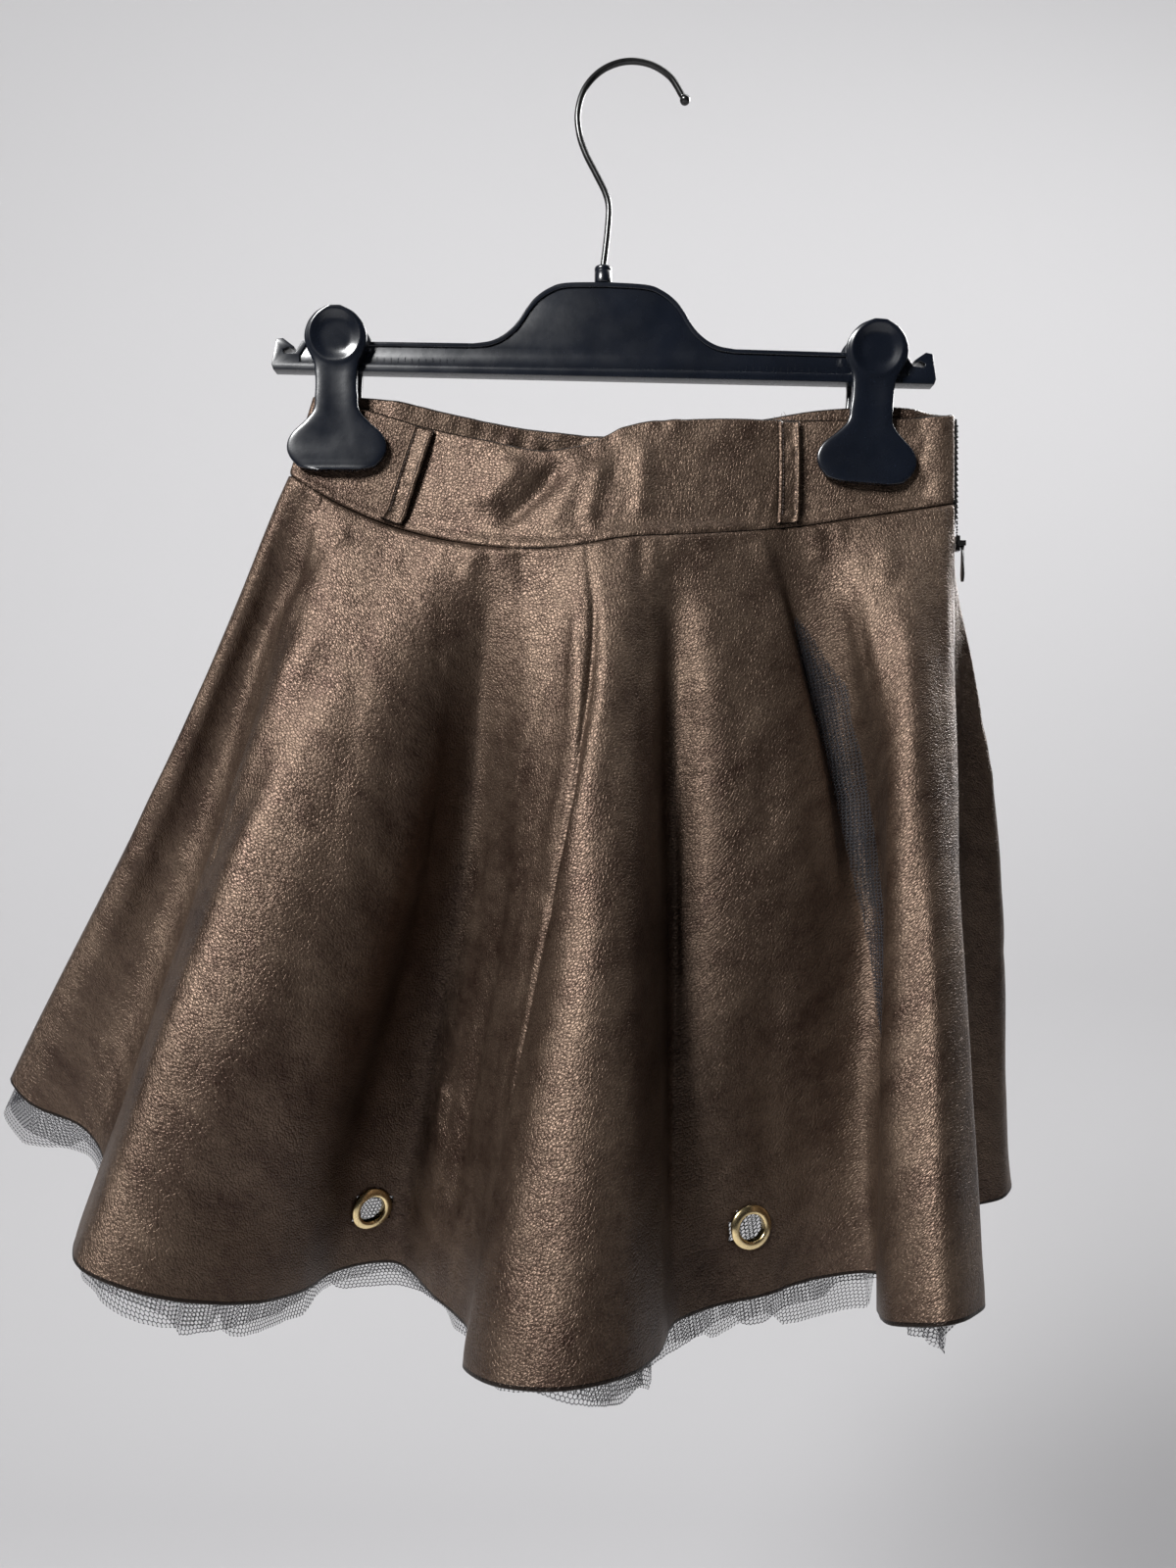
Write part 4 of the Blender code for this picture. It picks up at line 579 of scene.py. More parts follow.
def place_at(x, down):
    """The place on the front whose point at that height has this x."""
    places = np.linspace(0, LEATHER_LOFT.right_seam, 2001)
    return places[np.argmin(np.abs(panel_points(places, down)[:, 0] - x))]


# ---- meshes


def grid_quads(columns, rows, closed=False):
    """Quads between neighbouring columns and rows, the last column joined to the first when closed."""
    i, j = np.meshgrid(np.arange(columns if closed else columns - 1), np.arange(rows - 1), indexing="ij")
    after = (i + 1) % columns
    corners = [i * rows + j, i * rows + j + 1, after * rows + j + 1, after * rows + j]
    return np.stack(corners, axis=-1).reshape(-1, 4)


def linked(name, data):
    """A new object in the scene, at the origin, for a mesh, curve, lamp or camera."""
    made = bpy.data.objects.new(name, data)
    bpy.context.scene.collection.objects.link(made)
    return made


def smooth_mesh(name, points, corners, look):
    """A smooth-shaded mesh from points in metres and lists of face corners."""
    mesh = bpy.data.meshes.new(name)
    mesh.from_pydata(points.tolist(), [], corners)
    mesh.shade_smooth()
    mesh.materials.append(look)
    return mesh


def add_piece(name, points, faces, look, slot, stands_for=None, uv=None, sharp=None):
    """A finished piece from points in millimetres and arrays of face corners, without the unused points. It
    rides on the garment and stands for a node of the frame, if one is given."""
    used = np.unique(np.concatenate([part.reshape(-1) for part in faces]))
    number = np.zeros(len(points), int)
    number[used] = np.arange(len(used))
    corners = [row for part in faces for row in number[part].tolist()]
    mesh = smooth_mesh(name, points[used] * METRES, corners, LOOKS[look])
    if sharp:
        mesh.set_sharp_from_angle(angle=math.radians(sharp))
    if uv is not None:
        at_corners = uv[np.concatenate([part.reshape(-1) for part in faces])]
        mesh.uv_layers.new(name="cloth").data.foreach_set("uv", at_corners.astype(np.float32).reshape(-1))
    made = linked(name, mesh)
    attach(made, "garment")
    if stands_for:
        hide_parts(stands_for)
    return made


def wall(outer, inner, uv, hole=None):
    """A cloth wall: two grids of points joined round every open edge by a rounded rim. The rim's middle
    stands half a wall past the edge, away from the faces beside it."""
    columns, rows = outer.shape[:2]
    count = columns * rows
    quads = grid_quads(columns, rows)
    if hole is not None:
        quads = quads[~hole.reshape(-1)[quads].any(axis=1)]
    skin = np.concatenate([outer.reshape(-1, 3), inner.reshape(-1, 3)])
    sample = quads[:: max(len(quads) // 400, 1)]
    corner = skin[sample]
    facing = np.cross(corner[:, 2] - corner[:, 0], corner[:, 3] - corner[:, 1])
    if np.sum(facing * (corner[:, 0] - skin[sample[:, 0] + count])) < 0:
        quads = quads[:, ::-1]
    edges = np.concatenate([quads[:, [k, (k + 1) % 4]] for k in range(4)])
    single = ~np.isin(edges[:, 0] * count + edges[:, 1], edges[:, 1] * count + edges[:, 0])
    edges, owners = edges[single], np.tile(np.arange(len(quads)), 4)[single]
    away = unit(skin[edges].mean(axis=1) - skin[quads[owners]].mean(axis=1))
    rim = np.unique(edges)
    number = np.zeros(count, int)
    number[rim] = np.arange(len(rim))
    push = np.zeros((len(rim), 3))
    for k in (0, 1):
        np.add.at(push, number[edges[:, k]], away)
    thick = np.linalg.norm(skin[rim] - skin[rim + count], axis=1, keepdims=True)
    centre = (skin[rim] + skin[rim + count]) / 2 + unit(push) * thick * 0.42
    a, b = edges.T
    ring_a, ring_b = number[a] + 2 * count, number[b] + 2 * count
    faces = [
        quads, quads[:, ::-1] + count,
        np.stack([b, a, ring_a, ring_b], axis=1), np.stack([ring_b, ring_a, a + count, b + count], axis=1),
    ]
    uv = uv.reshape(-1, 2)
    return np.concatenate([skin, centre]), faces, np.concatenate([uv, uv, uv[rim]])


def metric_uv(points):
    """Metres over the cloth: u is the length round each row from the middle column, v the mean length down
    the columns."""
    steps = np.linalg.norm(np.diff(points, axis=0), axis=-1)
    u = np.concatenate([np.zeros((1, points.shape[1])), np.cumsum(steps, axis=0)])
    u = u - u[points.shape[0] // 2]
    falls = np.linalg.norm(np.diff(points, axis=1), axis=-1).mean(axis=0)
    v = np.concatenate([[0], np.cumsum(falls)])
    return np.stack([u, np.broadcast_to(-v, u.shape)], axis=-1) * METRES


def capped(rings, start, end):
    """Points and outward faces of rings (sides by rows), each end closed by a fan to one more point."""
    sides, rows = rings.shape[:2]
    i = np.arange(sides)
    after = (i + 1) % sides
    first, last = np.full_like(i, sides * rows), np.full_like(i, sides * rows + 1)
    faces = [
        grid_quads(sides, rows, closed=True), np.stack([i * rows, after * rows, first], axis=1),
        np.stack([after * rows + rows - 1, i * rows + rows - 1, last], axis=1),
    ]
    points = np.concatenate([rings.reshape(-1, 3), [start, end]])
    return points, outward(points, faces)


def lofted(rings):
    """Rings closed at their ends' centres."""
    return capped(rings, rings[:, 0].mean(axis=0), rings[:, -1].mean(axis=0))


def tube(line, radii, sides):
    """A tube through points: circles square to the path at the given radii, closed at the path's ends."""
    heading = unit(np.gradient(line, axis=0))
    rough = np.array([0.0, 1.0, 0.0]) if abs(heading[0, 1]) < 0.9 else np.array([1.0, 0.0, 0.0])
    side = unit(np.cross(heading, rough))
    over = np.cross(heading, side)
    turn = (np.arange(sides) * 2 * np.pi / sides)[:, None, None]
    return capped(line + radii[:, None] * (np.cos(turn) * side + np.sin(turn) * over), line[0], line[-1])


def outward(points, faces):
    """The faces of a closed surface, all reversed if the volume they enclose is negative."""
    volume = 0.0
    for part in faces:
        for k in range(1, part.shape[1] - 1):
            a, b, c = points[part[:, 0]], points[part[:, k]], points[part[:, k + 1]]
            volume += np.sum(a * np.cross(b, c))
    return faces if volume > 0 else [part[:, ::-1] for part in faces]


def many(points, faces, places, frames):
    """Copies of one small form: at each place, turned by three axes held as rows."""
    moved = np.einsum("pk,nkx->npx", points, frames) + places[:, None]
    step = np.arange(len(places))[:, None, None] * len(points)
    return moved.reshape(-1, 3), [(part[None] + step).reshape(-1, part.shape[1]) for part in faces]


def merged(parts):
    """Several pairs of points and faces as one."""
    steps = np.cumsum([0] + [len(points) for points, _ in parts])
    faces = [face + step for step, (_, faces) in zip(steps, parts) for face in faces]
    return np.concatenate([points for points, _ in parts]), faces


def plate(name, outlines, half, edge):
    """A flat form in the x-z plane from closed outlines, the inner ones holes, with bevelled edges."""
    curve = bpy.data.curves.new(name, "CURVE")
    curve.dimensions = "2D"
    curve.fill_mode = "BOTH"
    curve.extrude, curve.bevel_depth, curve.offset = half - edge, edge, -edge
    curve.bevel_resolution = 2
    for outline in outlines:
        spline = curve.splines.new("POLY")
        spline.use_cyclic_u = True
        spline.points.add(len(outline) - 1)
        flat = np.column_stack([outline, np.zeros(len(outline)), np.ones(len(outline))])
        spline.points.foreach_set("co", flat.reshape(-1))
    drawn = linked(name, curve)
    mesh = bpy.data.meshes.new_from_object(drawn.evaluated_get(bpy.context.evaluated_depsgraph_get()))
    bpy.data.objects.remove(drawn)
    points = np.empty(len(mesh.vertices) * 3)
    mesh.vertices.foreach_get("co", points)
    points = points.reshape(-1, 3)[:, [0, 2, 1]] * (1, -1, 1)
    mesh.calc_loop_triangles()
    corners = np.empty(len(mesh.loop_triangles) * 3, np.int32)
    mesh.loop_triangles.foreach_get("vertices", corners)
    _, first, same = np.unique(np.round(points, 4), axis=0, return_index=True, return_inverse=True)
    a, b, c = same.reshape(-1)[corners].reshape(-1, 3).T
    triangles = np.stack([a, b, c], axis=1)[(a != b) & (b != c) & (a != c)]
    return points[first], outward(points[first], [triangles])


# ---- materials


class Look:
    """A node material: shader sockets set by name, and nodes added in order from left to right."""

    def __init__(self, name, **sockets):
        self.material = bpy.data.materials.new(name)
        self.material.use_nodes = True
        self.tree = self.material.node_tree
        self.shader = self.tree.nodes["Principled BSDF"]
        for socket, value in sockets.items():
            self.shader.inputs[socket.replace("_", " ").title().replace("Ior", "IOR")].default_value = value

    def node(self, kind, inputs=(), output=0, **settings):
        """One of a new node's outputs, its inputs linked to sockets or set to values."""
        made = self.tree.nodes.new(f"ShaderNode{kind}")
        made.location = (-220 * (len(self.tree.nodes) - 1), 0)
        for key, value in settings.items():
            setattr(made, key, value)
        for socket, value in dict(inputs).items():
            if isinstance(value, bpy.types.NodeSocket):
                self.tree.links.new(value, made.inputs[socket])
            else:
                made.inputs[socket].default_value = value
        return made.outputs[output]

    def math(self, operation, *values):
        return self.node("Math", dict(enumerate(values)), operation=operation)

    def vector(self, operation, *values):
        return self.node("VectorMath", dict(enumerate(values)), operation=operation)

    def measure(self, operation, *values):
        """A vector operation whose result is a number."""
        return self.node("VectorMath", dict(enumerate(values)), "Value", operation=operation)

    def noise(self, vector, scale, detail=3.0, roughness=0.5):
        inputs = {"Vector": vector, "Scale": scale, "Detail": detail, "Roughness": roughness}
        return self.node("TexNoise", inputs, "Fac")

    def wave(self, vector, scale, direction):
        return self.node("TexWave", {"Vector": vector, "Scale": scale}, "Fac", bands_direction=direction)

    def cells(self, vector, scale, **settings):
        inputs = {"Vector": vector, "Scale": scale}
        return self.node("TexVoronoi", inputs, "Distance", voronoi_dimensions="2D", **settings)

    def ramp(self, factor, *stops):
        """Colours at positions along the factor."""
        made = self.node("ValToRGB", {"Fac": factor}, "Color")
        elements = made.node.color_ramp.elements
        for element, (position, colour) in zip(elements, (stops[0], stops[-1])):
            element.position, element.color = position, (*colour, 1.0)
        for position, colour in stops[1:-1]:
            elements.new(position).color = (*colour, 1.0)
        return made

    def spread(self, factor, low, high):
        """The factor stretched from 0 to 1 onto low to high."""
        return self.node("MapRange", {"Value": factor, "To Min": low, "To Max": high}, "Result")

    def bump(self, height, distance, strength):
        return self.node("Bump", {"Height": height, "Distance": distance, "Strength": strength}, "Normal")

    def cloth(self):
        """The piece's own coordinates, in metres over the cloth."""
        return self.node("UVMap", output="UV", uv_map="cloth")

    def wire(self, **sockets):
        for socket, value in sockets.items():
            self.tree.links.new(value, self.shader.inputs[socket.replace("_", " ").title()])
        return self.material


def shade(colour, factor):
    return tuple(c * factor for c in colour)


def leather_look(name, deep, light):
    """Bronze-brown coated leather: pebbles from a cell pattern, fine crackle between them, cloudy wear in the
    colour and gloss, and painted shade that follows the grain's relief, darker in its valleys and crackle
    than on its domes."""
    look = Look(name, metallic=0.76, specular_ior_level=0.5)
    cloth = look.cloth()
    off = look.vector("SUBTRACT", look.noise(cloth, 160, 2), (0.5, 0.5, 0.5))
    moved = look.vector("MULTIPLY_ADD", off, (0.0012,) * 3, cloth)
    dome = look.math("SUBTRACT", 1.0, look.cells(moved, 900.0))
    crackle = look.cells(moved, 620.0, feature="DISTANCE_TO_EDGE")
    edges = {"Value": crackle, "From Max": 0.16}
    groove = look.node("MapRange", edges, "Result", interpolation_type="SMOOTHSTEP")
    grain = look.math("MULTIPLY_ADD", dome, 0.6, look.math("MULTIPLY", groove, 0.3))
    height = look.math("MULTIPLY_ADD", look.noise(cloth, 75, 5, 0.6), 2.2, grain)
    cloudy = look.noise(cloth, 9, 3, 0.5)
    patchy = look.noise(cloth, 42, 4, 0.6)
    tone = look.math("MULTIPLY_ADD", patchy, 0.4, look.math("MULTIPLY", cloudy, 0.3))
    tone = look.math("MULTIPLY_ADD", look.noise(cloth, 210, 4, 0.7), 0.3, tone)
    middle = tuple((a + b) / 2 for a, b in zip(deep, light))
    base = look.ramp(tone, (0.36, deep), (0.5, middle), (0.64, light))
    # painted shade: the tone is multiplied by the grain's relief, from 0.5 in its valleys and crackle to 1.15
    # on its domes
    mix = {"Factor": 1.0, "A": base, "B": look.spread(grain, 0.5, 1.15)}
    colour = look.node("Mix", mix, "Result", data_type="RGBA", blend_type="MULTIPLY")
    rough = look.math("MULTIPLY_ADD", patchy, 0.25, look.spread(cloudy, 0.25, 0.35))
    return look.wire(base_color=colour, roughness=rough, normal=look.bump(height, 0.0004, 0.75))


def hexagons(look, vector, cell):
    """Distance from the nearest hexagon's edge, 0 to 0.5 of a cell: two offset grids of rectangles are taken,
    the nearer centre kept, and the largest of |x| and |x|/2 + 0.866 |y| taken from one half."""
    slant = math.sqrt(3) / 2
    scaled = look.vector("MULTIPLY", vector, (1.0 / cell,) * 3)
    span, half = (1.0, 2 * slant, 1.0), (0.5, slant, 0.5)
    spots = []
    for start in (scaled, look.vector("SUBTRACT", scaled, half)):
        wrapped = look.vector("WRAP", start, span, (0.0, 0.0, 0.0))
        spots.append(look.vector("MULTIPLY", look.vector("SUBTRACT", wrapped, half), (1.0, 1.0, 0.0)))
    nearer = look.math("LESS_THAN", *(look.measure("LENGTH", spot) for spot in spots))
    kept = look.node("Mix", {"Factor": nearer, "A": spots[1], "B": spots[0]}, "Result", data_type="VECTOR")
    size = look.vector("ABSOLUTE", kept)
    slanted = look.measure("DOT_PRODUCT", size, (0.5, slant, 0.0))
    upright = look.measure("DOT_PRODUCT", size, (1.0, 0.0, 0.0))
    return look.math("SUBTRACT", 0.5, look.math("MAXIMUM", slanted, upright))


def net_look(name, colour, cell, cover):
    """Fine black net: threads along the edges of hexagons, clear between them but for a faint haze."""
    look = Look(name, roughness=0.7, specular_ior_level=0.3)
    cloth = look.cloth()
    edge = {"Value": hexagons(look, cloth, cell), "From Min": cover, "From Max": cover / 2}
    thread = look.node("MapRange", edge, "Result")
    alpha = look.math("MAXIMUM", thread, look.spread(look.noise(cloth, 60, 2), 0.02, 0.09))
    tint = look.ramp(look.noise(cloth, 25, 2), (0.3, shade(colour, 0.6)), (0.7, shade(colour, 1.4)))
    return look.wire(base_color=tint, alpha=alpha)


# A noise in the object's own space, and the values between which it runs
Noise = namedtuple("Noise", "scale detail roughness low high")


def hard_look(name, colour, tone, gloss=None, relief=None, full=0.7, **sockets):
    """A hard finish: noises run its colour between two shades and its roughness between two values, and a
    third one's low and high are the depth and strength of its relief. At full the tone's noise is high."""
    look = Look(name, **sockets)
    spot = look.node("TexCoord", output="Object")
    shades = (0.3, shade(colour, tone.low)), (full, shade(colour, tone.high))
    wired = {"base_color": look.ramp(look.noise(spot, *tone[:3]), *shades)}
    if gloss:
        wired["roughness"] = look.spread(look.noise(spot, *gloss[:3]), gloss.low, gloss.high)
    if relief:
        wired["normal"] = look.bump(look.noise(spot, *relief[:3]), relief.low, relief.high)
    return look.wire(**wired)


def woven_look(name, colour, waves, shades, depth, strength, **sockets):
    """Thread or tape: waves in object space, each a scale and a direction, multiplied together."""
    look = Look(name, **sockets)
    spot = look.node("TexCoord", output="Object")
    weave = look.wave(spot, *waves[0])
    for wave in waves[1:]:
        weave = look.math("MULTIPLY", weave, look.wave(spot, *wave))
    tint = look.ramp(weave, (0.0, shade(colour, shades[0])), (1.0, shade(colour, shades[1])))
    return look.wire(base_color=tint, normal=look.bump(weave, depth, strength))


LOOKS = {}


def make_looks(colours):
    """Every finish, from the colours of the settings."""
    deep, light, black = tuple(colours.leather_deep), tuple(colours.leather_light), (0.01,) * 3
    LOOKS.update(
        leather=leather_look("bronze leather", deep, light),
        edge=leather_look("leather, cut edge", shade(deep, 0.22), shade(light, 0.16)),
        net=net_look("black net", tuple(colours.net), 0.0019, 0.085),
        plastic=hard_look(
            "navy black plastic", tuple(colours.plastic), Noise(38, 3, 0.5, 0.85, 1.2),
            Noise(120, 4, 0.5, 0.2, 0.34), Noise(420, 2, 0.5, 0.00004, 0.5), specular_ior_level=0.5,
            coat_weight=0.25, coat_roughness=0.12),
        steel=hard_look(
            "black lacquered steel", black, Noise(90, 3, 0.5, 0.6, 1.6), Noise(160, 3, 0.5, 0.22, 0.36),
            Noise(300, 2, 0.5, 0.00005, 0.5), full=0.75, metallic=0.35, coat_weight=0.3, coat_roughness=0.15),
        brass=hard_look(
            "pale brass", tuple(colours.brass), Noise(110, 3, 0.5, 0.8, 1.1), Noise(260, 4, 0.6, 0.14, 0.36),
            Noise(260, 4, 0.6, 0.00004, 0.6), metallic=1.0),
        tape=woven_look(
            "black woven tape", black, ((260.0, "Z"), (400.0, "Y")), (0.4, 2.0), 0.00012, 0.8,
            roughness=0.75, sheen_weight=0.2),
        thread=woven_look(
            "dark brown thread", shade(deep, 0.8), ((500.0, "DIAGONAL"),), (0.6, 1.5), 0.0001, 0.6,
            roughness=0.6, sheen_weight=0.15),
        wall=hard_look(
            "studio wall", tuple(colours.wall), Noise(0.9, 2, 0.5, 0.985, 1.0), roughness=0.9,
            specular_ior_level=0.1),
    )


# ---- leather pieces


def leather_piece(node, points, normals, outside, inside, hole=None, hem=False, **sheet):
    """A leather wall between two heights off a surface, whose cut edges, and its lowest row at a hem, are
    darker. The last arguments are not used."""
    skin = [points + normals * lift[..., None] for lift in (outside, inside)]
    made_points, faces, uv = wall(*skin, metric_uv(points), hole)
    made = add_piece(f"{node}_leather", made_points, faces, "leather", "leather", node, uv)
    rows = points.shape[1]
    lowest = hem & (faces[0] % rows == rows - 1).any(axis=1)
    dark = np.concatenate([lowest, lowest, np.ones(len(faces[2]) + len(faces[3]), bool)])
    made.data.materials.append(LOOKS["edge"])
    made.data.polygons.foreach_set("material_index", dark.astype(np.int32))


def seam_gaps(down, at_zip):
    """Half the gap between two panels at a side seam: wide beside the zip, closed below it."""
    closed = smooth_step(down, SLIDER_DOWN + 0.01, SLIDER_DOWN + 0.04)
    wide = ZIP_GAP * (1 - closed) + SEAM_GAP / 2 * closed
    return wide if at_zip else np.full_like(down, SEAM_GAP / 2)


def cleared(seam, way, down, depth, gap, loft):
    """How far round the hem each row starts from a seam so that it lies its gap off the seam's line."""
    steps = np.linspace(0, CLEAR_SEARCH, 301)
    points, normals = on_panel(*np.meshgrid(seam + way * steps, down, indexing="ij"), loft)
    line = points - normals * depth
    away = np.linalg.norm(line - line[0], axis=-1)
    return np.array([np.interp(g, away[:, row], steps) for row, g in enumerate(gap)])


def panel_grid(start, end, columns, rows, depth, gaps, loft):
    """Places and downs of a panel's grid: its side edges are cleared of the seams row by row, and its columns
    are closer at the guides and run along them."""
    left = start + cleared(start, 1, rows, depth, gaps[0], loft)
    right = end - cleared(end, -1, rows, depth, gaps[1], loft)
    fine = np.linspace(0, 1, 4001)
    middle = start + fine * (end - start)
    dense = 1 + CLOSER * sum(bell(middle - guide.anchor, CLOSER_REACH) for guide in GUIDES)
    total = np.concatenate([[0], np.cumsum(dense[:-1])])
    share = np.interp(np.linspace(0, total[-1], columns), total, fine)
    place = left + share[:, None] * (right - left)
    for guide in GUIDES:
        drawn = bell(place - guide.anchor, guide.reach)
        place = place + (through(guide.downs, guide.places, rows) - guide.anchor) * drawn
    return place, np.broadcast_to(rows, (columns, len(rows)))


def leather_panel(name, start, end, columns, at_zip, flat_top):
    """One panel of the skirt: the ribs' surface with its relief, and the inner side a wall behind. The flat
    area worked out from its cut at the waist and its hem is not used."""
    first = SKIRT_DROP / PANEL_LENGTH
    rows = first + (1 - first) * np.linspace(0, 1, 166) ** 1.08
    rows = np.append(rows[:-1], [1 - HEM_EDGE / PANEL_LENGTH, 1.0])
    gaps = [seam_gaps(rows, zipped) for zipped in at_zip]
    place, down = panel_grid(start, end, columns, rows, LEATHER_WALL, gaps, LEATHER_LOFT)
    points, normals = on_panel(place, down)
    relief = leather_relief(place, down, points, normals)
    relief *= within(place, place[:1], place[:1] + 6, place[-1:] - 6, place[-1:])
    relief *= 1 - eyelet_nearness(points, EYELET_CALM)
    hole = eyelet_nearness(points, EYELET_HOLE) > 0.0 if name == "skirt_front" else None
    leather_piece(
        name, points, normals, relief, relief - LEATHER_WALL, hole, hem=True,
        flat=((end - start) * METRES, PANEL_LENGTH * METRES), held="hung",
        rests_on=[name.replace("skirt", "waistband")],
        area=(flat_top + end - start) / 2 * PANEL_LENGTH * METRES**2,
    )


def eyelet_nearness(points, reach):
    """From 1 at an eyelet's centre to 0 at reach from it, as a smooth step that is flat in the middle."""
    near = np.zeros(points.shape[:-1])
    for x, down in EYELETS.values():
        apart = np.linalg.norm(points - panel_points(place_at(x, down), down), axis=-1)
        near = np.maximum(near, (apart < reach) * (1 - smooth_step(apart, reach * 0.7, reach)))
    return near


def gather_depth(share, level):
    """The elastic's gathers in the back band: 18 troughs whose depth varies, dying out at the seam."""
    pitch = (GATHER_TO - GATHER_FROM) / GATHERS
    wave = (1 - np.cos(2 * np.pi * (share - GATHER_FROM) / pitch)) / 2
    gathered = within(share, GATHER_FROM, GATHER_FROM + 2 * pitch, GATHER_TO - 2 * pitch, GATHER_TO)
    varied = 1 + uneven(share * WAIST_RUN, level * BAND_HEIGHT, GATHER_CHANGE)
    return -0.35 * varied * wave * gathered * (1 - smooth_step(level, 0.7, 1.0))


def band_relief(share, level, points, normals):
    """Wrinkles, a low uneven ripple, the stitched seam's small puckers and the turned top edge's."""
    along, fall = share * WAIST_RUN, level * BAND_HEIGHT
    relief = creased(points, normals, BAND_CREASES, band_points) + gather_depth(share, level)
    relief += (0.5 + 0.4 * (share > 1)) * uneven(along, fall, BAND_RIPPLE)
    relief += uneven(along, fall, BAND_SEAM_PUCKER) * bell(BAND_HEIGHT - fall, 4.0)
    relief += uneven(along, fall, BAND_TOP_PUCKER) * bell(fall, 5.0)
    return relief


def jaw_nearness(x):
    """1 under a clip's jaw and 0 away from it."""
    return np.maximum(*(1 - smooth_step(np.abs(x - clip_x), 20.0, 28.0) for clip_x, _, _ in CLIPS.values()))


def waistband(name, start, gaps, flat_width, held):
    """A doubled band: its outer side is the waist ring with its relief, its inner side a wall behind. Its
    columns stand closer together towards its ends as the cosine runs."""
    first, last = start + gaps[0] / WAIST_WIDTH, start + 1 - gaps[1] / WAIST_WIDTH
    even = np.linspace(0, 1, 300)
    shares = first + (last - first) * (0.75 * even + 0.25 * (1 - np.cos(np.pi * even)) / 2)
    levels = np.linspace(0, 1 - BAND_LIFT / BAND_HEIGHT, 52)
    share, level = np.meshgrid(shares, levels, indexing="ij")
    points, normals = on_band(share, level)
    relief = band_relief(share, level, points, normals)
    relief *= within(share, first, first + 0.02, last - 0.02, last) * (1 - jaw_nearness(points[..., 0]))
    relief -= 0.8 * bell((1 - level) * BAND_HEIGHT, 1.2)
    leather_piece(
        name, points, normals, relief, relief - BAND_WALL, flat=(flat_width, 0.046), held=held,
        rests_on=[name.replace("waistband", clip) for clip in CLIPS],
    )


def on_loop(top, bottom, side, level):
    """The band under a belt loop, with the height of the loop's inner side, which arches by the square root
    of a sine."""
    points, normals = on_band(top + (bottom - top) * level + side * LOOP_HALF, level)
    arch = SEAM_GAP + LOOP_ARCH * np.sqrt(np.sin(np.pi * np.clip(level, LOOP_FROM, LOOP_TO)))
    return points, normals, arch


def belt_loop(name, top, bottom):
    """A folded strip over the band: its long edges are rolled thicker, and its middle is wrinkled across."""
    side, level = np.meshgrid(np.linspace(-1, 1, 27), np.linspace(LOOP_FROM, LOOP_TO, 70), indexing="ij")
    points, normals, arch = on_loop(top, bottom, side, level)
    rolled = bell(np.abs(side) - 0.8, 0.17)
    copy = sorted(BELT_LOOPS).index(name)
    wrinkle = uneven(side * 5, level * BAND_HEIGHT, LOOP_WRINKLE, copy) * (1 - side**4)
    leather_piece(
        name, points, normals, arch + 0.95 + rolled + wrinkle * 0.7, arch + 0.1 * rolled, flat=(0.012, 0.045),
        held="stretched", rests_on=["waistband_front" if "front" in name else "waistband_back"],
    )


# ---- net


def net_layer(node, start, end, at_zip, layer, ruffle):
    """One layer of the petticoat: it hangs inside the leather's ribs, its ruffles are a cosine round the hem
    that grows down the skirt and is made uneven, and its raw hem follows the hem table with a small jagged
    edge. The outer layer stands for the node."""
    kind, hem, inset = NET_LAYERS[layer]
    rows = 0.014 + 0.986 * np.linspace(0, 1, 46) ** 0.9
    columns = int((end - start) / 2.6)
    gaps = [np.where(zipped & (rows < 0.35), NET_SLIT, 0.2) for zipped in at_zip]
    place, down = panel_grid(start, end, columns, rows, inset, gaps, NET_LOFT)
    fall = np.interp(place, *hem.T) + uneven(place, down * 0, NET_TEAR, layer)
    down = down * (1 + fall / PANEL_LENGTH)
    drop = np.clip(down, 0, 1.1)
    round_hem = NET_LOFT.length
    room = 1 - 0.85 * bell(np.minimum(place % round_hem, -place % round_hem), 45.0)
    turn = 2 * np.pi * NET_WAVES * place / round_hem + 1.9 * layer
    wobble = uneven(place, drop * PANEL_LENGTH, NET_WOBBLE, layer)
    wave = ruffle * (1 + np.cos(turn + wobble)) * drop**1.5
    sway = uneven(place, drop * PANEL_LENGTH, NET_SWAY, layer) * drop
    depth = LEATHER_WALL + inset + 1.1 * smooth_step(drop, 0.0, 0.15) + (2.0 * drop + wave + sway) * room
    points, normals = on_panel(place, down, NET_LOFT)
    outer, inner = (points - normals * deep[..., None] for deep in (depth, depth + NET_WALL))
    stands_for = node if layer == 0 else None
    made_points, faces, uv = wall(outer, inner, metric_uv(outer))
    made = add_piece(f"{node}_{kind}_net", made_points, faces, "net", "net", stands_for, uv)


# ---- eyelets


def seated(spots, normal, place, down):
    """The panel's points on the lines through the spots along the normal, found by Newton steps in place and
    down on the miss across the normal."""
    place, down = np.full(len(spots), place), np.full(len(spots), down)
    for _ in range(8):
        around = panel_points(place + 0.5, down) - panel_points(place - 0.5, down)
        below = (panel_points(place, down + 0.002) - panel_points(place, down - 0.002)) / 0.004
        miss = spots - panel_points(place, down)
        miss, around, below = (v - (v @ normal)[:, None] * normal for v in (miss, around, below))
        a, b, c = np.sum(around**2, 1), np.sum(around * below, 1), np.sum(below**2, 1)
        p, q = np.sum(miss * around, 1), np.sum(miss * below, 1)
        det = a * c - b * b
        place, down = place + (p * c - q * b) / det, down + (q * a - p * b) / det
    return panel_points(place, down)


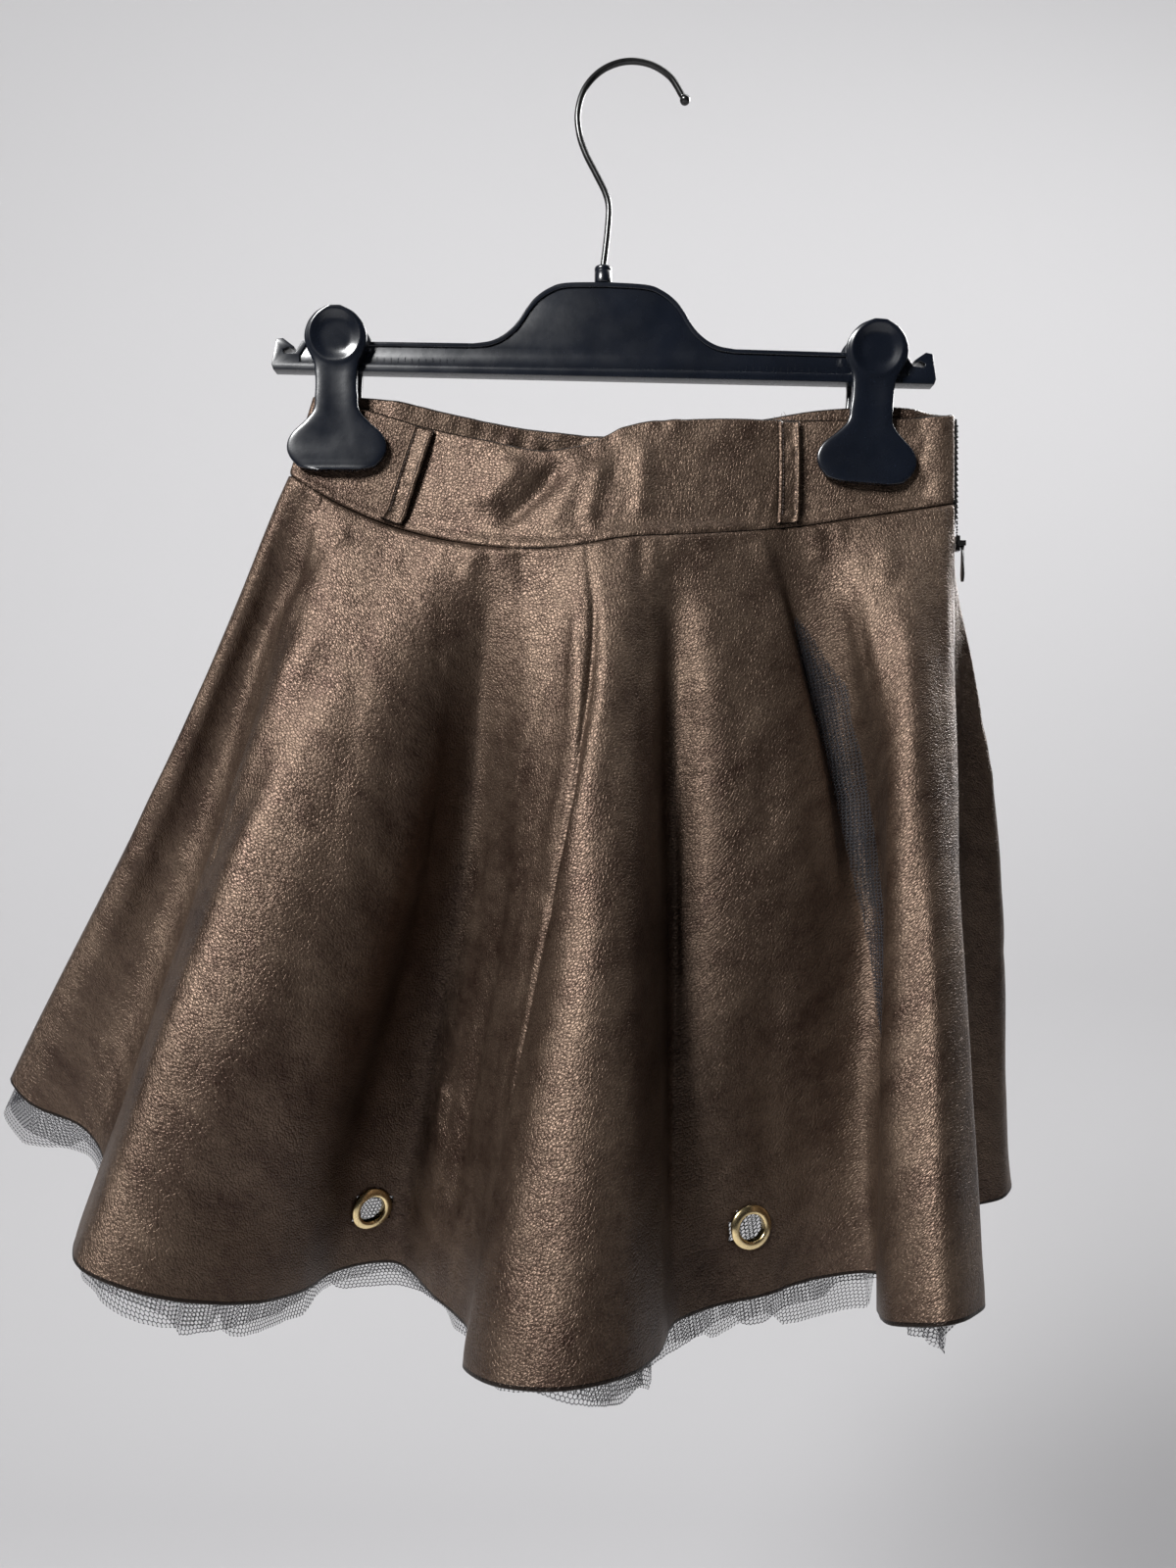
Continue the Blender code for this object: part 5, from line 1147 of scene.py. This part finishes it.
def eyelet(name, x, down):
    """A pressed ring: its section turned round the hole, each point lifted off the leather under it."""
    place = place_at(x, down)
    centre, normal = on_panel(place, down)
    side = unit(np.cross(normal, (0.0, 0.0, 1.0)))
    over = np.cross(side, normal)
    turn = np.linspace(0, 2 * np.pi, 72, endpoint=False)[:, None]
    spots = centre + (np.cos(turn) * side + np.sin(turn) * over)[:, None] * EYELET_PROFILE[None, :, :1]
    sides, rows = spots.shape[:2]
    under = seated(spots.reshape(-1, 3), normal, place, down).reshape(spots.shape)
    points = (under + normal * EYELET_PROFILE[:, 1:]).reshape(-1, 3)
    faces = grid_quads(sides, rows + 1, closed=True)
    faces = faces // (rows + 1) * rows + faces % (rows + 1) % rows
    add_piece(f"{name}_ring", points, outward(points, [faces]), "brass", "brass", name, sharp=60)


# ---- zip and stitching


def zip_line(count):
    """The zip's route, evenly spaced: down the band's right end and on down the leather's right seam, with
    the directions out of the cloth and along it."""
    levels, downs = np.linspace(0.02, 0.97, 40), np.linspace(0.006, ZIP_END, 120)
    band, seam = on_band(1.0, levels), on_panel(LEATHER_LOFT.right_seam, downs)
    points, outs = (np.concatenate(pair) for pair in zip(band, seam))
    length = lengths_along(points)
    even = np.linspace(0, length[-1], count)
    points, outs = (straight(even, length, rows) for rows in (points, outs))
    path = unit(np.gradient(points, axis=0))
    return points, unit(outs - path * np.sum(outs * path, axis=1, keepdims=True)), path, even


def rounded_box(size, edge):
    """A box with chamfered edges: four rings of eight corners and two flat ends."""
    x, y, z = np.array(size) / 2
    right = [(x - edge, -y), (x, edge - y), (x, y - edge), (x - edge, y)]
    corners = np.array([right[3], *((-a, b) for a, b in right[::-1]), *right[:3]])
    small = 1 - edge / max(x, y)
    levels = ((-z, small), (-z + edge, 1.0), (z - edge, 1.0), (z, small))
    rings = [np.column_stack([corners * scale, np.full(8, height)]) for height, scale in levels]
    return lofted(np.stack(rings, axis=1))


def zip_teeth():
    """Interlocked teeth above the slider: small chamfered blocks set alternately to each side of the line."""
    points, outs, path, even = zip_line(400)
    at = np.searchsorted(even, np.arange(TEETH_START, even[even < TEETH_END][-1], TEETH_PITCH))
    side = np.where(np.arange(len(at)) % 2 == 0, 1.0, -1.0)[:, None]
    across = np.cross(path[at], outs[at])
    frames = np.stack([outs[at], across, path[at]], axis=1)
    places = points[at] + outs[at] * 1.2 + across * side * 0.45
    teeth = many(*rounded_box((0.7, 1.6, 0.85), 0.18), places, frames)
    add_piece("zip_teeth", *teeth, "steel", "zip_metal", sharp=35)


def stitch_form(length, radius):
    """One stitch: a short bent tube that rises out of the cloth and dives back in."""
    t = np.linspace(-1, 1, 7)
    line = np.column_stack([np.zeros(7), t * length / 2, radius * (0.9 - 1.5 * t**4)])
    return tube(line, radius * np.sqrt(np.clip(1.08 - t**4, 0.05, 1)), 6)


def stitch_row(surface, line):
    """Places and frames of stitches at an even pitch along a line on a surface of points and normals."""
    a, b = through(np.linspace(0, 1, len(line)), line, np.linspace(0, 1, 900)).T
    points, normals = surface(a, b)
    length = lengths_along(points)
    index = np.searchsorted(length, np.arange(STITCH_PITCH, length[-1] - STITCH_PITCH / 2, STITCH_PITCH))
    heading, up = unit(np.gradient(points, axis=0))[index], normals[index]
    return points[index], np.stack([np.cross(heading, up), heading, up], axis=1)


def loop_outside(top, bottom):
    """A belt loop's outer side, as a function for stitch_row: side -1 to 1, and the band's level."""

    def surface(side, level):
        points, normals, arch = on_loop(top, bottom, side, level)
        return points + normals * (arch + 1.4)[:, None], normals

    return surface


def inside_band(share, level):
    """The back band's inner side, its normals turned inwards."""
    points, normals = on_band(share, level)
    depth = BAND_WALL - band_relief(share, level, points, normals)
    return points - normals * depth[:, None], -normals


def stitches():
    """Thread down both sides of every belt loop, and round the rectangle inside the back band."""
    rows = []
    for top, bottom in BELT_LOOPS.values():
        for side in (-0.62, 0.62):
            rows.append(stitch_row(loop_outside(top, bottom), ((side, 0.05), (side, 0.5), (side, 0.95))))
    left, right, upper, lower = INNER_TACK
    for line in (((left, upper), (right, upper)), ((left, lower), (right, lower)),
                 ((left, upper), (left, lower)), ((right, upper), (right, lower))):
        rows.append(stitch_row(inside_band, line))
    places, frames = (np.concatenate(parts) for parts in zip(*rows))
    add_piece("stitches", *many(*stitch_form(2.3, 0.24), places, frames), "thread", "leather")


def loose_threads():
    """Frayed ends at the band's top edge: each rises straight and leans over by the square of its run."""
    run = np.linspace(0, 1, 8)
    for number, (share, height, lean) in enumerate(LOOSE_THREADS):
        points, normals = on_band(share, 0.0)
        line = points - normals + np.column_stack([lean * run**2, np.full(8, 0.2 * lean), height * run - 0.5])
        add_piece(f"loose_thread_{number + 1}", *tube(line, 0.16 - 0.09 * run, 5), "thread", "leather")


# ---- hanger


def hook():
    """Bent wire with a ball at its tip: an arc over the origin, then the stem's points, joined by the cubic.
    Over the first few millimetres the tube's radius follows a circle."""
    turns = np.linspace(HOOK_FROM, HOOK_TO, 7)
    crown = np.column_stack([HOOK_RADIUS * np.cos(turns), 1.5 + HOOK_RADIUS * (np.sin(turns) - 1)])
    route = np.concatenate([crown, HOOK_STEM])
    x, z = through(np.arange(len(route)), route, np.linspace(0, len(route) - 1, 220)).T
    line = np.column_stack([x, np.zeros(220), z])
    ahead = np.linspace(4.0, 0.15, 18)
    off = ahead - 1.68
    ball = np.maximum(np.sqrt(np.clip(HOOK_BALL**2 - off**2, 0.0, None)), np.where(off < 0, HOOK_WIRE, 0.02))
    radii = np.concatenate([ball, np.full(219, HOOK_WIRE), [1.3]])
    line = np.concatenate([line[0] + unit(line[0] - line[1]) * ahead[:, None], line])
    add_piece("hook_bent_wire", *tube(line, radii, 28), "steel", "hook_steel", "hook_wire")


def socket():
    """A turned socket round the wire, with soft edges and a groove: its section carried round the axis."""
    turn = (np.arange(48) * 2 * np.pi / 48)[:, None]
    radius, height = np.array(SOCKET).T
    x, y = np.cos(turn) * radius, np.sin(turn) * radius
    turned = lofted(np.stack([x, y, np.broadcast_to(height, x.shape)], axis=-1) + HUMP_TOP)
    add_piece("hook_socket_turned", *turned, "plastic", "hanger_plastic", "hook_socket", sharp=50)


def both_halves(right):
    """The outline of a right half with its mirror image, closed along the bottom."""
    return np.concatenate([right[:0:-1] * (-1, 1), right]) + (BAR_SHIFT, 0)


def smoothed(right, last):
    """The half outline with its rows up to the last one run through by the cubic."""
    right = np.array(right, float)
    curve = through(np.arange(last + 1), right[: last + 1], np.linspace(0, last, 48))
    return np.concatenate([curve, right[last + 1 :]])


def bar():
    """The bar: a plate with a recess in both faces, a thinner web inside the recess, and ticks along its
    foot, every fourth one higher."""
    outline = both_halves(smoothed(HUMP + PRONG, len(HUMP) - 1))
    recess = both_halves(smoothed(RECESS, 9))
    heights = TICK_HEIGHT + np.where(np.arange(len(TICKS)) % 4 == 0, 0.5, 0.0)
    places = np.column_stack([TICKS + BAR_SHIFT, np.zeros(len(TICKS)), heights])
    ticks = many(*rounded_box((0.35, 6.0, 2.2), 0.08), places, np.broadcast_to(np.eye(3), (len(TICKS), 3, 3)))
    rim, web = plate("rim", [outline, recess], RIM_HALF, 0.35), plate("web", [recess], WEB_HALF, 0.02)
    points, faces = merged([rim, web, ticks])
    points = tilted(points, BAR_TILT) + HUMP_TOP
    add_piece("hanger_bar_moulded", points, faces, "plastic", "hanger_plastic", "hanger_bar", sharp=35)


def clip_leaf(name, x, z, lean, side):
    """A clip leaf: sections that follow the table from the jaw up, each a squared ellipse, with a low channel
    down its middle and a dished thumb rest: a shallow bowl inside a low ring."""
    heights = np.concatenate([[0.0, 0.15, 0.45], np.linspace(0.8, 72.2, 92), [72.6, 72.85, 73.0]])
    half, inner = through(LEAF[:, 0], LEAF[:, 1:], heights).T
    turn = np.linspace(0, 2 * np.pi, 96, endpoint=False)[:, None]
    c, s = (np.sign(v) * np.abs(v) ** LEAF_SQUARE for v in (np.cos(turn), np.sin(turn)))
    across, out = c * half, inner + LEAF_WALL / 2 * (1 + s)
    up = np.broadcast_to(heights, across.shape)
    apart = np.hypot(across, up - THUMB_HEIGHT)
    bowl = -THUMB_DEPTH * (1 - smooth_step(apart, THUMB_RADIUS * 0.55, THUMB_RADIUS * 0.98))
    ring = 0.3 * bell(apart - THUMB_RADIUS, 0.9)
    channel = -0.45 * bell(across, 4.5) * within(up, 8, 18, 44, 50)
    out = out + (bowl + ring + channel) * smooth_step(np.sin(turn), 0.1, 0.75)
    out = np.minimum(out, inner + LEAF_WALL + 0.35)
    rings = tilted(np.stack([across, side * out, up], axis=-1), lean) + (x, 0.0, z)
    add_piece(f"{name}_moulded", *lofted(rings), "plastic", "hanger_plastic", name, sharp=50)


# ---- stage


def sweep_wall():
    """A floor that turns up into a wall through a quarter circle, as one profile carried across."""
    floor, back, radius = -1.45, 1.95, 0.70
    turn = np.linspace(0, np.pi / 2, 24)
    bend = np.column_stack([back - radius + radius * np.sin(turn), floor + radius - radius * np.cos(turn)])
    profile = np.concatenate([[(-2.8, floor)], bend, [(back, 2.8)]])
    across, row = np.meshgrid(np.linspace(-3.4, 3.4, 9), np.arange(len(profile)), indexing="ij")
    points = np.column_stack([across.reshape(-1), profile[row.reshape(-1)]])
    mesh = smooth_mesh("studio_wall", points, grid_quads(9, len(profile)).tolist(), LOOKS["wall"])
    linked("studio_wall", mesh)


def lamp(name, place, aim, size, power, spread=180):
    """A soft area light at a place, turned towards its aim, its beam that many degrees wide."""
    data = bpy.data.lights.new(name, "AREA")
    data.shape = "RECTANGLE"
    data.size, data.size_y = size
    data.energy, data.spread = power, math.radians(spread)
    made = linked(name, data)
    made.location = place
    made.rotation_euler = (Vector(aim) - Vector(place)).to_track_quat("-Z", "Y").to_euler()


def camera():
    """A level camera before the skirt's middle, looking straight along y."""
    data = bpy.data.cameras.new("camera")
    data.lens, data.sensor_width = 27.05, 36.0
    data.clip_start, data.clip_end = 0.01, 20.0
    made = linked("camera", data)
    made.location = (-0.0203, -0.543, -0.3316)
    made.rotation_euler = (math.pi / 2, 0.0, 0.0)
    bpy.context.scene.camera = made


def studio(lights):
    """The lamps, and a world that lights evenly but shows the camera a plain pale backdrop."""
    bpy.context.scene.view_settings.view_transform = "Standard"
    world = bpy.data.worlds.new("studio")
    bpy.context.scene.world = world
    world.use_nodes = True
    tree = world.node_tree
    soft = tree.nodes["Background"]
    soft.inputs["Color"].default_value = (0.86, 0.88, 0.92, 1.0)
    soft.inputs["Strength"].default_value = lights.ambient
    seen = tree.nodes.new("ShaderNodeBackground")
    seen.inputs["Color"].default_value = (*lights.backdrop, 1.0)
    rays, choice = tree.nodes.new("ShaderNodeLightPath"), tree.nodes.new("ShaderNodeMixShader")
    tree.links.new(rays.outputs["Is Camera Ray"], choice.inputs["Fac"])
    tree.links.new(soft.outputs[0], choice.inputs[1])
    tree.links.new(seen.outputs[0], choice.inputs[2])
    tree.links.new(choice.outputs[0], tree.nodes["World Output"].inputs["Surface"])
    lamp("back", (1.35, 1.25, 0.7), (0.0, 0.0, -0.35), (1.1, 1.0), lights.back, 50)
    lamp("key", (-1.68, -2.05, 1.35), (0.0, 0.0, -0.32), (0.9, 0.8), lights.key)
    lamp("side fill", (-1.5, -0.5, 0.2), (0.0, 0.0, -0.4), (0.6, 0.9), lights.fill)
    lamp("wall wash", (1.5, 0.3, 1.2), (1.3, 1.9, -1.5), (2.8, 0.7), lights.wash)


# ---- settings and operators


def colour(name, description, default):
    return FloatVectorProperty(
        name=name, description=description, default=default, subtype="COLOR", min=0, max=1)


def watts(name, description, default):
    return FloatProperty(name=name, description=description, default=default, unit="POWER", min=0)


class SkirtColours(bpy.types.PropertyGroup):
    """Base colours of the finishes."""

    leather_deep: colour("Leather, deep", "Leather in its darker clouds", (0.050, 0.028, 0.020))
    leather_light: colour("Leather, light", "Leather where its bronze coat shows", (0.150, 0.104, 0.074))
    net: colour("Net", "Threads of the petticoat", (0.022, 0.022, 0.026))
    plastic: colour("Hanger", "Plastic of the bar and clips", (0.0035, 0.005, 0.009))
    brass: colour("Eyelets", "Pressed rings in the hem", (0.78, 0.62, 0.34))
    wall: colour("Wall", "Studio wall and floor", (0.58, 0.575, 0.585))


class SkirtSizes(bpy.types.PropertyGroup):
    """Sizes that a maker would change without changing the cut."""

    ruffle: FloatProperty(
        name="Ruffle", description="Half height of a ruffle of net at the hem", default=2.2 * METRES,
        unit="LENGTH", min=0, max=0.004)


class SkirtLights(bpy.types.PropertyGroup):
    """Lamp powers in watts, and what lies past the wall."""

    key: watts("Key", "Soft lamp at the upper left", 185.0)
    fill: watts("Fill", "Low lamp at the left", 0.5)
    back: watts("Back", "Soft lamp behind on the right", 9.0)
    wash: watts("Wall", "Lamp on the wall", 34.0)
    backdrop: colour("Backdrop", "What shows past the wall", (0.60, 0.60, 0.61))
    ambient: FloatProperty(
        name="Ambient", description="Strength of the even light", default=0.02, min=0, max=2)


class SKIRT_OT_panels(bpy.types.Operator):
    """Hang the front and back leather panels from the waist seam"""

    bl_idname = "skirt.panels"
    bl_label = "Leather Panels"

    def execute(self, context):
        right, end = LEATHER_LOFT.right_seam, LEATHER_LOFT.length
        leather_panel("skirt_front", 0, right, 292, (False, True), 330)
        leather_panel("skirt_back", right, end, 250, (True, False), 315)
        return {"FINISHED"}


class SKIRT_OT_waistbands(bpy.types.Operator):
    """Make the smooth front band and the gathered back band"""

    bl_idname = "skirt.waistbands"
    bl_label = "Waistbands"

    def execute(self, context):
        waistband("waistband_front", 0, (BAND_END_GAP, ZIP_BAND_GAP), 0.325, "hung")
        waistband("waistband_back", 1, (ZIP_BAND_GAP, BAND_END_GAP), 0.34, "gathered")
        return {"FINISHED"}


class SKIRT_OT_belt_loops(bpy.types.Operator):
    """Fold the four belt loops over the bands"""

    bl_idname = "skirt.belt_loops"
    bl_label = "Belt Loops"

    def execute(self, context):
        for name, (top, bottom) in BELT_LOOPS.items():
            belt_loop(name, top, bottom)
        return {"FINISHED"}


class SKIRT_OT_stitches(bpy.types.Operator):
    """Sew the belt loops' edges and leave some thread ends loose"""

    bl_idname = "skirt.stitches"
    bl_label = "Stitches"

    def execute(self, context):
        stitches()
        loose_threads()
        return {"FINISHED"}


class SKIRT_OT_petticoat(bpy.types.Operator):
    """Hang the two layers of net inside the leather, front and back"""

    bl_idname = "skirt.petticoat"
    bl_label = "Net Petticoat"

    def execute(self, context):
        right, end = NET_LOFT.right_seam, NET_LOFT.length
        ruffle = context.scene.skirt_sizes.ruffle / METRES
        for layer in range(len(NET_LAYERS)):
            net_layer("petticoat_front", 0, right, (False, True), layer, ruffle)
        for layer in range(len(NET_LAYERS)):
            net_layer("petticoat_back", right, end, (True, False), layer, ruffle)
        return {"FINISHED"}


class SKIRT_OT_eyelets(bpy.types.Operator):
    """Press the two rings into the front's hem"""

    bl_idname = "skirt.eyelets"
    bl_label = "Eyelets"

    def execute(self, context):
        for name, (x, down) in EYELETS.items():
            eyelet(name, x, down)
        return {"FINISHED"}


class SKIRT_OT_zip(bpy.types.Operator):
    """Set the zip's teeth, and finish the frame's own nodes that stay as they are"""

    bl_idname = "skirt.zip"
    bl_label = "Zip"

    def execute(self, context):
        zip_teeth()
        for name, look in (("zip_tape", "tape"), ("zip_slider", "steel"), ("zip_pull", "steel"),
                           ("clip_left_fulcrum", "plastic"), ("clip_right_fulcrum", "plastic")):
            for material_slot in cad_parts[name].material_slots:
                material_slot.material = LOOKS[look]
        return {"FINISHED"}


class SKIRT_OT_hook(bpy.types.Operator):
    """Bend the hook and turn its socket"""

    bl_idname = "skirt.hook"
    bl_label = "Hook"

    def execute(self, context):
        hook()
        socket()
        return {"FINISHED"}


class SKIRT_OT_bar(bpy.types.Operator):
    """Mould the hanger's recessed bar"""

    bl_idname = "skirt.bar"
    bl_label = "Hanger Bar"

    def execute(self, context):
        bar()
        return {"FINISHED"}


class SKIRT_OT_clips(bpy.types.Operator):
    """Mould the two clips' leaves"""

    bl_idname = "skirt.clips"
    bl_label = "Clips"

    def execute(self, context):
        for name, (x, z, lean) in CLIPS.items():
            for end, side in (("front", -1), ("back", 1)):
                clip_leaf(f"{name}_{end}", x, z, lean, side)
        return {"FINISHED"}


class SKIRT_OT_stage(bpy.types.Operator):
    """Set up the wall, the lamps and the camera"""

    bl_idname = "skirt.stage"
    bl_label = "Studio"

    def execute(self, context):
        sweep_wall()
        studio(context.scene.skirt_lights)
        camera()
        return {"FINISHED"}


OPERATORS = (
    SKIRT_OT_panels, SKIRT_OT_waistbands, SKIRT_OT_belt_loops, SKIRT_OT_stitches, SKIRT_OT_petticoat,
    SKIRT_OT_eyelets, SKIRT_OT_zip, SKIRT_OT_hook, SKIRT_OT_bar, SKIRT_OT_clips, SKIRT_OT_stage,
)
SETTINGS = {"skirt_colours": SkirtColours, "skirt_sizes": SkirtSizes, "skirt_lights": SkirtLights}


class SKIRT_PT_panel(bpy.types.Panel):
    """The skirt's settings and its pieces in their order"""

    bl_label = "Skirt"
    bl_idname = "SKIRT_PT_panel"
    bl_space_type = "VIEW_3D"
    bl_region_type = "UI"
    bl_category = "Skirt"

    def draw(self, context):
        for settings in SETTINGS:
            group, box = getattr(context.scene, settings), self.layout.box()
            for name in group.bl_rna.properties.keys():
                if name not in {"rna_type", "name"}:
                    box.prop(group, name)
        for operator in OPERATORS:
            self.layout.operator(operator.bl_idname)


CLASSES = (*SETTINGS.values(), *OPERATORS, SKIRT_PT_panel)


def register():
    for cls in CLASSES:
        bpy.utils.register_class(cls)
    for name, group in SETTINGS.items():
        setattr(bpy.types.Scene, name, PointerProperty(type=group))


def unregister():
    for name in SETTINGS:
        delattr(bpy.types.Scene, name)
    for cls in reversed(CLASSES):
        bpy.utils.unregister_class(cls)


def main():
    register()
    make_looks(bpy.context.scene.skirt_colours)
    for operator in OPERATORS:
        section, name = operator.bl_idname.split(".")
        getattr(getattr(bpy.ops, section), name)()


if __name__ == "__main__":
    main()
